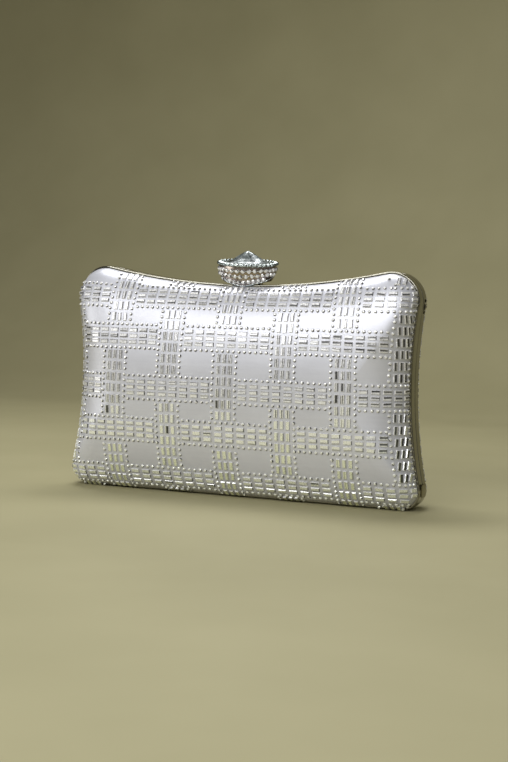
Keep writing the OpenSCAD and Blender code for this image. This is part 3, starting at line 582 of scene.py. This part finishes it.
def h_seg(j, u0, u1, cols):
    """cols baguettes long between arc positions u0 and u1, with twice as many rounds above and below."""
    zc = sec.z_of(0.0, S_ROW[j]); span = u1-u0
    pitch = min(3.12, (span-1.9)/(2*cols)); first = u0+(span-pitch*(2*cols-1))/2

    def put(lst, u, off):
        x = sec.x_of(zc, u); S = S_ROW[j]+S_TILT[j]*x+off
        lst.append(("V", x, S, "H") if abs(x) < 84 else ("H", sec.z_of(x, S), u, "H"))
    for i in range(2*cols):
        for sd in (-1, 1):
            put(rnd, first+i*pitch, sd*S_HALF)
    for i in range(cols):
        for c in (-1, 0, 1):
            put(bag, first+(2*i+0.5)*pitch, c*3.13)


def s_row(j, x, sd):
    return S_ROW[j]+S_TILT[j]*x+sd*S_HALF


for k in (1, 3, 5):
    x = VX[k][1]; lo_, hi_ = sec.ends(x)
    v_seg(k, s_row(3, x, 1), s_row(1, x, -1), 6)
    n = int((hi_-0.4-s_row(1, x, 1)-2.3+1.6)/3.0)//2
    v_seg(k, 0, 0, n, start=s_row(1, x, 1)+2.4)
    v_seg(k, 0, 0, 5, start=lo_+1.5+(s_row(3, x, -1)-2.3-lo_-1.5-9*3.0)*0.7)
for k in (0, 2, 4, 6):
    x = {0: -84.0, 6: 84.0}.get(k) or VX[k][1]; lo_, hi_ = sec.ends(x)
    v_seg(k, s_row(2, x, 1), s_row(0, x, -1), 6)
    v_seg(k, s_row(4, x, 1), s_row(2, x, -1), 6)
    if k in (2, 4):
        v_seg(k, 0, 0, 1, start=s_row(0, x, 1)+2.2)
    v_seg(k, 0, 0, 1, start=s_row(4, x, -1)-2.2-3.0)
s_ = s_row(0, 84.0, 1)+2.3
bag += [("H", 114.6, sec.u_end(114.6)-d, "V") for d in (7.6, 4.3)]
rnd += [("H", z, sec.u_end(z)-10.8, "V") for z in (113.2, 116.0)] + [("H", z, sec.u_end(z)-1.6, "V") for z in (100.0, 103.0, 106.0, 109.0, 112.0)]
for j in (0, 2, 4):
    zc = sec.z_of(0.0, S_ROW[j])
    c1, c3, c5 = (v_centre(k, zc) for k in (1, 3, 5)); e = sec.u_end(zc)
    h_seg(j, c1+COL_R, c3-COL_R, 8); h_seg(j, c3+COL_R, c5-COL_R, 8)
    h_seg(j, c5+COL_R, e+0.6, 5); h_seg(j, -e-0.6, c1-COL_R, 5)
for j in (1, 3):
    zc = sec.z_of(0.0, S_ROW[j])
    c = [v_centre(k, zc) for k in (0, 2, 4, 6)]
    for a, b in zip(c[:-1], c[1:]):
        h_seg(j, a+COL_R, b-COL_R, 8)

# stone shapes: rings of points and faces, local x across, y along, z out
def baguette():
    """Step-cut stone: girdle, wide bevel, table in four strips that carry painted light and shade, standing in for
    reflections in the foiled back.
    """
    a, b = 1.06, 2.26
    rings = [(a, b, -0.42), (a, b, 0.24), (a-0.22, b-0.28, 0.66)]
    V = []
    for p, q_, z in rings:
        V += [(-p, -q_, z), (p, -q_, z), (p, q_, z), (-p, q_, z)]
    A, B = a-0.22, b-0.28; cuts = (-0.41, 0.02, 0.45)
    for c in cuts:
        V += [(c, -B, 0.66), (c, B, 0.66)]
    F = [[3, 2, 1, 0]]
    for r in range(2):
        for i in range(4):
            j = (i+1) % 4
            f = [r*4+i, r*4+j, (r+1)*4+j, (r+1)*4+i]
            if r == 1 and i == 0:
                f = [4, 5, 9, 16, 14, 12, 8]
            if r == 1 and i == 2:
                f = [6, 7, 11, 13, 15, 17, 10]
            F.append(f)
    F += [[8, 12, 13, 11], [12, 14, 15, 13], [14, 16, 17, 15], [16, 9, 10, 17]]
    return np.array(V), F


def round_stone():
    n = 8; V = []
    for r, z, ph in ((0.86, -0.5, 0), (0.92, 0.28, 0), (0.52, 0.80, 0.5)):
        V += [(r*math.cos(2*math.pi*(i+ph)/n), r*math.sin(2*math.pi*(i+ph)/n), z) for i in range(n)]
    V.append((0, 0, 0.90))
    # base: painted light of each facet, light on table and crown, darker on girdle and bottom
    F = [[i for i in range(n)][::-1]]; az = [None]; base = [0.3]
    for i in range(n):
        j = (i+1) % n
        F.append([i, j, n+j, n+i]); base.append(0.50); az.append(2*math.pi*(i+0.5)/n)
    for i in range(n):
        j = (i+1) % n
        F.append([n+i, n+j, 2*n+i]); base.append(0.92); az.append(2*math.pi*(i+0.5)/n)
        F.append([n+j, 2*n+j, 2*n+i]); base.append(0.88); az.append(2*math.pi*(i+1.0)/n)
    for i in range(n):
        j = (i+1) % n
        F.append([2*n+i, 2*n+j, 3*n]); base.append(0.97); az.append(2*math.pi*(i+1)/n)
    return np.array(V), F, base, az


# painted light and shade of the four table strips (painted reflections in the foiled back), left to right (upright) or
# low to high (level); UP for the top rows, LOW for the bottom rows, DARK for painted shade mostly near the right edge
UP_V = ([0.98, 0.99, 0.95, 0.22], [0.95, 0.97, 0.32, 0.93], [0.98, 0.94, 0.97, 0.46], [0.40, 0.98, 0.92, 0.20])
UP_H = ([0.20, 0.96, 0.99, 0.95], [0.16, 0.46, 0.98, 0.98], [0.42, 0.93, 0.97, 0.84], [0.25, 0.93, 0.46, 0.98])
MID_V = ([1.0, 0.14, 1.0, 0.46], [1.0, 0.98, 0.12, 0.96], [0.42, 1.0, 0.16, 1.0], [1.0, 0.56, 1.0, 0.24])
MID_H = ([0.98, 0.95, 0.62, 0.92], [0.98, 0.96, 0.40, 0.88], [0.95, 0.94, 0.96, 0.46], [0.90, 0.97, 0.93, 0.62])
LOW_V = ([0.88, 0.93, 0.92, 0.74], [0.86, 0.92, 0.90, 0.88], [0.94, 0.88, 0.92, 0.60], [0.92, 0.66, 0.94, 0.92])
LOW_H = ([0.88, 0.94, 0.90, 1.0], [0.66, 0.92, 0.88, 1.0], [0.92, 0.90, 0.93, 0.97], [0.62, 0.94, 0.92, 0.98])
LOW_V, LOW_H, MID_H = ([[min(1.0, t+0.10) if t > 0.8 else t for t in g] for g in tab] for tab in (LOW_V, LOW_H, MID_H))
DARK_V = ([0.72, 0.10, 0.05, 0.50], [0.85, 0.30, 0.06, 0.16], [0.60, 0.06, 0.30, 0.70])
DARK_H = ([0.96, 0.82, 0.08, 0.40], [0.94, 0.55, 0.05, 0.66], [0.90, 0.84, 0.14, 0.80])


def clamp(v, lo=0.0, hi=1.0):
    return min(hi, max(lo, v))


def place(stones, proto, s, jit, is_round):
    """World points of every stone on the front (s = -1) or back (s = 1) skin."""
    PV, PF = proto[:2]; P0 = []; N0 = []; hz = []
    for fam, a, b, kind in stones:
        a += rng.normal(0, 0.06); b += rng.normal(0, 0.06)
        hu, hs = (0.9, 0.9) if is_round else ((1.2, 2.3) if kind == "V" else (2.3, 1.2))
        got = sec.spot(fam, a, b, hu, hs)
        if got:
            P0.append(got[0]); N0.append(got[1]); hz.append(kind == "H" and not is_round)
    P0 = np.array(P0); n = np.array(N0); hz = np.array(hz); M_ = len(P0)
    # long axis along constant x (upright) or constant z (level)
    tv = np.stack([np.zeros(M_), n[:, 2], -n[:, 1]], 1); th = np.stack([n[:, 1], -n[:, 0], np.zeros(M_)], 1)
    flat = (np.abs(n[:, 1]) < 0.2)[:, None]
    tv = np.where(flat, np.cross(n, [1.0, 0, 0])*-1, tv); th = np.where(flat & (np.linalg.norm(th, axis=1)[:, None] < 0.2), [-1.0, 0, 0], th)
    L = np.where(hz[:, None], th, tv); L -= (L*n).sum(1)[:, None]*n
    bad = np.linalg.norm(L, axis=1) < 0.15
    L[bad] = np.cross(n[bad], [0, 1.0, 0]); L /= np.linalg.norm(L, axis=1, keepdims=True)
    W = np.cross(L, n)
    ang_ = rng.normal(0, math.radians(jit), M_)[:, None]
    L, W = L*np.cos(ang_)+W*np.sin(ang_), W*np.cos(ang_)-L*np.sin(ang_)
    ta = rng.normal(0, math.radians(1.2), (M_, 2))
    n2 = n + ta[:, :1]*L + ta[:, 1:]*W; n2 /= np.linalg.norm(n2, axis=1, keepdims=True)
    W = np.cross(L, n2); W /= np.linalg.norm(W, axis=1, keepdims=True); L = np.cross(n2, W)
    sc_ = 1+rng.normal(0, 0.02, (M_, 1, 1))
    P = P0[:, None] + sc_*(PV[None, :, :1]*W[:, None] + PV[None, :, 1:2]*L[:, None] + PV[None, :, 2:]*n2[:, None])
    if s > 0:
        P = P*[1, -1, 1]
    P[..., 2] = np.maximum(P[..., 2], 0.05); P[..., 1] = s*np.maximum(s*P[..., 1], RT+0.08)
    nv = len(PV); F = []; painted_facet_light = []; painted_floor_tint = []
    # fj jitters the painted facet light; da sets the direction of the painted dark facets on the rounds
    fj = rng.normal(0, 0.045, (M_, len(PF))); pick = rng.random((M_, 3)); da = rng.normal(math.radians(-42), math.radians(30), M_)
    for i in range(M_):
        x, z = P0[i, 0], P0[i, 2]
        # painted floor reflection: stones get more yellow-green tint towards the bottom
        floor_tint_w = clamp((62-z)/50.0)
        # slow drift over the bag, so that neighbours look alike as they would under one light
        g = (0.9*math.sin(0.050*x+0.031*z)+0.7*math.sin(0.094*z-0.027*x+1.3)+0.5*math.sin(0.13*x+0.05*z+0.4)+1.6+0.22*pick[i, 1]) % 1.0
        if is_round:
            # painted shade: crown facets turned towards da take the dark tone d, a little lighter on the upper stones
            base, az = proto[2:4]; d = 0.30 if z > 78 else 0.20
            b_ = [(d if (a is not None and 8 < k < 25 and math.cos(a-da[i]) > 0.55) else t) for k, (t, a) in enumerate(zip(base, az))]
            floor_tint_f = [0.30*floor_tint_w]*len(PF)
        else:
            h = bool(hz[i]); up_ = clamp((z-80)/8.0); low = clamp((50-z)/10.0)
            # painted shade: stones near the right edge and at the upper left take the DARK tables more often
            painted_shade_p = 0.85*clamp((x-76)/8.0)*clamp((z-12)/10.0)*clamp((103-z)/8.0) + 0.55*clamp((x-48)/14.0)*clamp((z-52)/6.0)*clamp((92-z)/8.0)*(1 if h else 0.4) \
                + 0.65*clamp((-74-x)/6.0)*clamp((z-66)/4.0)
            if pick[i, 0] < painted_shade_p+0.02:
                tab = DARK_H if h else DARK_V
            elif pick[i, 2] < up_:
                tab = UP_H if h else UP_V
            elif pick[i, 2] < low:
                tab = LOW_H if h else LOW_V
            else:
                tab = MID_H if h else MID_V
            st = list(tab[int(g*len(tab)) % len(tab)])
            # painted light on the bottom, girdle and bevel faces
            if h:
                ends_ = [0.30 if pick[i, 1] < 0.45 else 0.75, 0.90, 0.97, 0.97]
            else:
                ends_ = [1.0, 0.70, 0.95, 0.97]
            b_ = [0.3] + [0.68]*4 + ends_ + st
            floor_tint_f = [0.10*floor_tint_w]*9 + [floor_tint_w*(0.55 if h else 0.95)]*4
        for k, f in enumerate(PF):
            q_ = [i*nv+v for v in f]
            F.append(q_ if s < 0 else q_[::-1]); painted_facet_light.append(clamp(b_[k]+fj[i, k])); painted_floor_tint.append(clamp(floor_tint_f[k]+fj[i, k]))
    return P.reshape(-1, 3), F, painted_facet_light, painted_floor_tint


for nm, s, body in halves:
    V, F, T, W_ = place(bag, baguette(), s, 1.6, False)
    make(nm+"_baguettes", V, F, BAG_ST, body, (nm+"_trim",), sharp="flat", painted_facet_light=T, painted_floor_tint=W_)
    V, F, T, W_ = place(rnd, round_stone(), s, 12.0, True)
    make(nm+"_rounds", V, F, RND_ST, body, (nm+"_trim",), sharp="flat", painted_facet_light=T, painted_floor_tint=W_)


# ------------------------------------------------------------------ knob clasp
KA, KB, KY = 17.0, 10.8, -0.5; CUP_LO, RIM_Z = DIP-1, DIP+10.2


def bowl(u):
    return 0.93*(0.54+0.46*(1-(1-clamp(u))**2.9)**0.9)


def cup_f(z):
    return bowl((z-CUP_LO)/(RIM_Z-CUP_LO))


def lip(a):
    f = -math.sin(a); c = abs(math.cos(a))
    if f > 0.55:
        return CUP_LO+2.6*(c/0.84)**1.3
    if f > -0.3:
        return CUP_LO+2.6+(0.55-f)/0.85*0.9
    return CUP_LO+3.5+(-0.3-f)/0.7*1.3


def ridge(a):
    """Height of the rolled border of the set front, in a lighter metal painted as a highlight; behind it the cup is
    plain, in a darker copy painted as shade.
    """
    f = -math.sin(a)
    return lip(a) if f > 0.5 else max(lip(a), CUP_LO+2.6+5.1*min(1.2, (0.5-f)/0.77))


def lean(p):
    """The rim leans towards the front: heights grow to the back, from nothing at the lip to 9 degrees at the rim."""
    w = min(1.0, max(0.0, (p[2]-CUP_LO)/(RIM_Z-CUP_LO))) if p[2] < RIM_Z else 1.0
    return (p[0], p[1], p[2]+((p[1]-KY)*0.16-p[0]*0.030+0.40)*w)


def cup_wall():
    NC, K = 120, 18; V = []; F = []
    for w in (0.0, 0.8):
        for k in range(K+1):
            for i in range(NC):
                a = 2*math.pi*i/NC; z0 = lip(a); z = z0+(RIM_Z-z0)*k/K; f = cup_f(z)
                V.append(((KA*f-w)*math.cos(a), KY+(KB*f-w)*math.sin(a), z))
    M = (K+1)*NC; o = lambda k, i: k*NC+i % NC
    for k in range(K):
        for i in range(NC):
            F.append([o(k, i), o(k, i+1), o(k+1, i+1), o(k+1, i)])
            F.append([M+o(k, i), M+o(k+1, i), M+o(k+1, i+1), M+o(k, i+1)])
    for i in range(NC):
        F.append([o(0, i), M+o(0, i), M+o(0, i+1), o(0, i+1)])
        F.append([o(K, i), o(K, i+1), M+o(K, i+1), M+o(K, i)])
    # faces behind the set front get the darker copy of the cup metal: painted shade
    plain = [sum(V[i][2] for i in f)/len(f) < ridge(math.atan2(sum(V[i][1]-KY for i in f)/KB, sum(V[i][0] for i in f)/KA)) for f in F]
    V = [lean(p) for p in V]
    ob = make("knob_cup_wall", V, F, CUP, "clasp", ("knob_cup",), sharp=40); fix_normals(ob)
    ob.data.materials.append(CUP_PLAIN_PAINTED_SHADE); ob.data.polygons.foreach_set("material_index", [int(p) for p in plain])


def tube(pts, r, m=10, closed=True):
    """Round bar along closed points."""
    P = np.array(pts, float); n = len(P); V = []; F = []
    T = np.roll(P, -1, 0)-np.roll(P, 1, 0); T /= np.linalg.norm(T, axis=1, keepdims=True)
    C = P.mean(0)
    for i in range(n):
        out = P[i]-C; out -= out.dot(T[i])*T[i]; out /= np.linalg.norm(out); up = np.cross(T[i], out)
        rr = r[i] if hasattr(r, "__len__") else r
        for j in range(m):
            b = 2*math.pi*j/m; V.append(P[i]+rr*(math.cos(b)*out+math.sin(b)*up))
    for i in range(n):
        for j in range(m):
            F.append([i*m+j, i*m+(j+1) % m, ((i+1) % n)*m+(j+1) % m, ((i+1) % n)*m+j])
    return [tuple(v) for v in V], F


def merge(parts):
    V = []; F = []
    for v, f in parts:
        b = len(V); V += [tuple(map(float, p)) for p in v]; F += [[b+i for i in g] for g in f]
    return V, F


def ball(c, r, n=8, m=5, squash=1.0, up=(0, 0, 1)):
    V = []; F = []
    for k in range(1, m):
        b = math.pi*k/m
        for i in range(n):
            a = 2*math.pi*i/n
            V.append((c[0]+r*math.sin(b)*math.cos(a), c[1]+r*math.sin(b)*math.sin(a), c[2]+r*squash*math.cos(b)))
    V += [(c[0], c[1], c[2]+r*squash), (c[0], c[1], c[2]-r*squash)]
    t = (m-1)*n
    for k in range(m-2):
        for i in range(n):
            F.append([k*n+i, (k+1)*n+i, (k+1)*n+(i+1) % n, k*n+(i+1) % n])
    for i in range(n):
        F.append([t, i, (i+1) % n]); F.append([t+1, (m-2)*n+(i+1) % n, (m-2)*n+i])
    return V, F


cup_wall()
# polished rolled edge of the cup, in a lighter cyan-tinted metal painted as a highlight
edge = []
for i in range(144):
    a = 2*math.pi*i/144; z = ridge(a)+0.30; f = cup_f(z)+0.012
    edge.append(lean(((KA*f-0.30)*math.cos(a), KY+(KB*f-0.30)*math.sin(a), z)))
# three staggered rows of small round stones in bead settings, a bead between neighbours
NP = 30; PV, PF, PB, PA = round_stone(); SV = []; SF = []; ST = []; beads = []
for row in range(3):
    u = 0.20+0.29*row
    for i in range(NP):
        a = 2*math.pi*(i+(row % 2)/2)/NP
        for half_step in (0, 1):
            aa = a+half_step*math.pi/NP
            z0 = min(lip(aa), CUP_LO+2.6); z = z0+(RIM_Z-z0)*u; f = cup_f(z); fa, fb = KA*f, KB*f
            df = (cup_f(z+0.05)-cup_f(z-0.05))/0.1
            n = Vector((math.cos(aa)/fa, math.sin(aa)/fb, 0)).normalized()
            slope = df*math.hypot(KA*math.cos(aa), KB*math.sin(aa))
            n = Vector((n.x, n.y, -slope)).normalized()
            c = Vector(lean((fa*math.cos(aa), KY+fb*math.sin(aa), z)))
            if z < ridge(aa)+1.5:
                continue
            if half_step == 0:
                L = Vector((0, 0, 1)).cross(n).normalized(); W = n.cross(L); r = 1.22; b = len(SV)
                rot = rng.uniform(0, 0.8)
                for p in PV:
                    px = p[0]*math.cos(rot)-p[1]*math.sin(rot); py = p[0]*math.sin(rot)+p[1]*math.cos(rot)
                    SV.append(tuple(c+L*px*r+W*py*r+n*(p[2]*0.95+0.02)))
                # painted light: facets turned towards d0 are painted dark, the rest take round_stone's painted facet
                # light with jitter v0
                v0 = rng.normal(0, 0.08)
                d0 = rng.normal(0.6, 0.9)
                for k_, (g, t, az) in enumerate(zip(PF, PB, PA)):
                    if az is not None and 8 < k_ < 25 and math.cos(az-d0) > 0.6:
                        t = 0.30
                    SF.append([b+q_ for q_ in g]); ST.append(min(1, max(0, t+v0+rng.normal(0, 0.12))))
            else:
                beads.append(ball(c+n*0.12, 0.33))
make("knob_pave_stones", SV, SF, RND_ST, "clasp", ("knob_pave",), sharp="flat", painted_facet_light=ST)
V, F = merge([tube(edge, 0.42, 10)] + beads)
make("knob_cup_beads", V, F, BRIGHT_PAINTED_HIGHLIGHT, "clasp", ("knob_cup",), sharp=50)
# bezel: plain band with a claw-cut upper edge that holds the crystal
NBZ = 36; n = 360; prof = [(-1.35, -0.55), (0.55, -0.80), (0.95, -0.40), (1.0, 0.0), (0.72, 0.50), (0.1, 0.75), (-0.9, 0.90), (-1.5, 0.45)]
V = []; F = []; K = len(prof)
for i in range(n):
    a = 2*math.pi*i/n; cl = 0.5+0.5*math.cos(a*NBZ); cl = cl**0.6
    for j, (dr, dz) in enumerate(prof):
        up = 1.0 if j in (3, 4, 5, 6) else 0.0
        dz2 = dz+up*(cl-0.6)*0.46; dr2 = dr+(0.46*(cl-0.5) if j in (2, 3, 4) else 0) - (0.4*cl if j == 6 else 0)
        V.append(((KA-1.15+dr2)*math.cos(a), KY+(KB-1.15+dr2)*math.sin(a), RIM_Z+0.82+dz2))
for i in range(n):
    for j in range(K):
        F.append([i*K+j, i*K+(j+1) % K, ((i+1) % n)*K+(j+1) % K, ((i+1) % n)*K+j])
V = [lean(p) for p in V]
ob = make("knob_bezel_ring", V, F, BEZEL, "clasp", ("knob_bezel",), sharp=60); fix_normals(ob)
# crystal: low concave skirts rising to a tall faceted dome
GZ = RIM_Z+1.1; n = 16; a0, b0 = KA-1.75, KB-1.75
prof = [(0.16, -4.6, 0), (0.62, -2.8, 0.5), (0.98, -0.65, 0), (1.0, -0.15, 0), (0.90, 0.20, 0.5), (0.76, 0.62, 0), (0.62, 1.25, 0.5), (0.46, 2.45, 0), (0.30, 3.95, 0.5), (0.15, 5.25, 0), (0.04, 6.0, 0.5)]
V = []; F = []; T = []
for r, dz, ph in prof:
    V += [lean((a0*r*math.cos(2*math.pi*(i+ph+0.3)/n), KY+b0*r*math.sin(2*math.pi*(i+ph+0.3)/n), GZ+dz)) for i in range(n)]
F.append([i for i in range(n)][::-1]); T.append(0.3)
# facet tones are painted reflections: random per facet, lighter on the band at the rim
for k in range(len(prof)-1):
    pa, pb = prof[k][2], prof[k+1][2]
    for i in range(n):
        j = (i+1) % n; A, B = k*n, (k+1)*n
        if pa == pb:
            g = [[A+i, A+j, B+j, B+i]]
        elif pb > pa:
            g = [[A+i, A+j, B+i], [A+j, B+j, B+i]]
        else:
            g = [[A+i, A+j, B+j], [A+i, B+j, B+i]]
        for f in g:
            F.append(f); T.append(float(rng.choice([0.10, 0.32, 0.46, 0.60, 0.80, 1.0], p=[0.14, 0.18, 0.24, 0.22, 0.14, 0.08])+(0.22 if k in (3, 4) else 0)))
F.append([(len(prof)-1)*n+i for i in range(n)]); T.append(0.9)
make("knob_crystal_stone", V, F, GEM, "clasp", ("knob_crystal",), sharp="flat", painted_facet_light=T)

# ------------------------------------------------------------------ seam guards at the lower corners
for sd, nm in ((-1, "left"), (1, "right")):
    V = []; F = []; n = 48; y0, y1, z0, z1, r = -3.9, 4.1, 6.4, 13.4, 1.9
    for lv, (dx, ins) in enumerate(((98.98, 0.0), (99.14, 0.0), (99.26, 0.16), (99.30, 0.5), (99.34, 1.6))):
        for i in range(n):
            a = 2*math.pi*i/n; c_, s_ = math.cos(a), math.sin(a)
            cy = (y0+y1)/2+math.copysign((y1-y0)/2-r, c_); cz = (z0+z1)/2+math.copysign((z1-z0)/2-r, s_)
            V.append((sd*dx, cy+(r-ins)*c_, cz+(r-ins)*s_))
    V.append((sd*98.98, 0.1, 9.9)); V.append((sd*99.36, 0.1, 9.9))
    for lv in range(4):
        for i in range(n):
            F.append([lv*n+i, lv*n+(i+1) % n, (lv+1)*n+(i+1) % n, (lv+1)*n+i])
    for i in range(n):
        F.append([5*n, (i+1) % n, i]); F.append([5*n+1, 4*n+i, 4*n+(i+1) % n])
    ob = make("seam_guard_"+nm, V, F, GUARD_PAINTED_REFLECTION, "back_half", ("hinge_guard_"+nm,), sharp=45); fix_normals(ob)

# ------------------------------------------------------------------ CAD parts kept as they are
KEEP = {"catch_plate": BRIGHT_PAINTED_HIGHLIGHT, "clasp_bracket": RAIL_PAINTED_REFLECTION, "clasp_pin": STEEL, "clasp_spring": STEEL, "clasp_lever": CUP,
        "front_hinge_leaf_left": STEEL, "front_hinge_leaf_right": STEEL, "back_hinge_leaf_left": STEEL, "back_hinge_leaf_right": STEEL,
        "hinge_pin_left": STEEL, "hinge_pin_right": STEEL,
        "strap_lug_left": DARKMETAL, "strap_lug_right": DARKMETAL}
for nm, mat in KEEP.items():
    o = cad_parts[nm]
    if not o.material_slots:
        o.data.materials.append(mat)
    for sl in o.material_slots:
        sl.material = mat

# ------------------------------------------------------------------ stage, light, camera
m, nt, p = new_mat("stage_floor")
f = noise(nt, coords(nt), 9.0, 3.0)
nt.links.new(ramp(nt, f, [(0.3, (0.335, 0.309, 0.172)), (0.7, (0.372, 0.343, 0.196))]), p.inputs["Base Color"])
p.inputs["Roughness"].default_value = 0.7
V = []; F = []; prof = [(-900, 0), (500, 0)] + [(500+400*math.sin(a), 400-400*math.cos(a)) for a in np.linspace(0.15, math.pi/2, 12)] + [(900, 2200)]
for y, z in prof:
    V += [(-2200, y, z), (2200, y, z)]
for i in range(len(prof)-1):
    F.append([2*i, 2*i+1, 2*i+3, 2*i+2])
floor = make("stage_sweep", V, F, m)
floor.location.z = -0.0002

world = bpy.data.worlds.new("studio"); bpy.context.scene.world = world; world.use_nodes = True
bg = world.node_tree.nodes["Background"]; bg.inputs["Color"].default_value = (0.50, 0.49, 0.45, 1); bg.inputs["Strength"].default_value = 0.26


def softbox(name, loc, target, size, power, color=(1, 1, 1)):
    l = bpy.data.lights.new(name, "AREA"); l.shape = "RECTANGLE"; l.size, l.size_y = size; l.energy = power; l.color = color
    o = bpy.data.objects.new(name, l); bpy.context.scene.collection.objects.link(o)
    o.location = loc; o.rotation_mode = "QUATERNION"
    o.rotation_quaternion = (Vector(target)-Vector(loc)).to_track_quat("-Z", "Y")


softbox("key_top", (-0.14, 0.20, 0.77), (0, 0, 0.05), (0.56, 0.26), 4.5)
softbox("front_strip", (0.02, -0.74, 0.50), (0, 0, 0.080), (1.00, 0.32), 5.3)
softbox("fill_left", (-0.80, -0.50, 0.22), (0, 0, 0.06), (0.35, 0.40), 1.2, (1.0, 0.99, 0.97))
softbox("rim_right", (0.80, 0.20, 0.50), (0, 0, 0.06), (0.25, 0.45), 0.25)
bpy.context.scene.view_settings.view_transform = "Standard"

yaw, pitch, roll = -0.40497, 0.06687, 0.0240
fwd = Vector((math.sin(yaw)*math.cos(pitch), math.cos(yaw)*math.cos(pitch), -math.sin(pitch)))
r0 = Vector((math.cos(yaw), -math.sin(yaw), 0)); u0 = r0.cross(fwd)
rt = math.cos(roll)*r0+math.sin(roll)*u0; up = -math.sin(roll)*r0+math.cos(roll)*u0
cd = bpy.data.cameras.new("camera"); cd.sensor_width = 36.0; cd.lens = 1470.6811/762*36; cd.clip_start = 0.01; cd.clip_end = 20
cam = bpy.data.objects.new("camera", cd); bpy.context.scene.collection.objects.link(cam)
M = Matrix((rt, up, -fwd)).transposed().to_4x4(); M.translation = Vector((0.3087987, -0.7088993, 0.1123344))
cam.matrix_world = M
bpy.context.scene.camera = cam
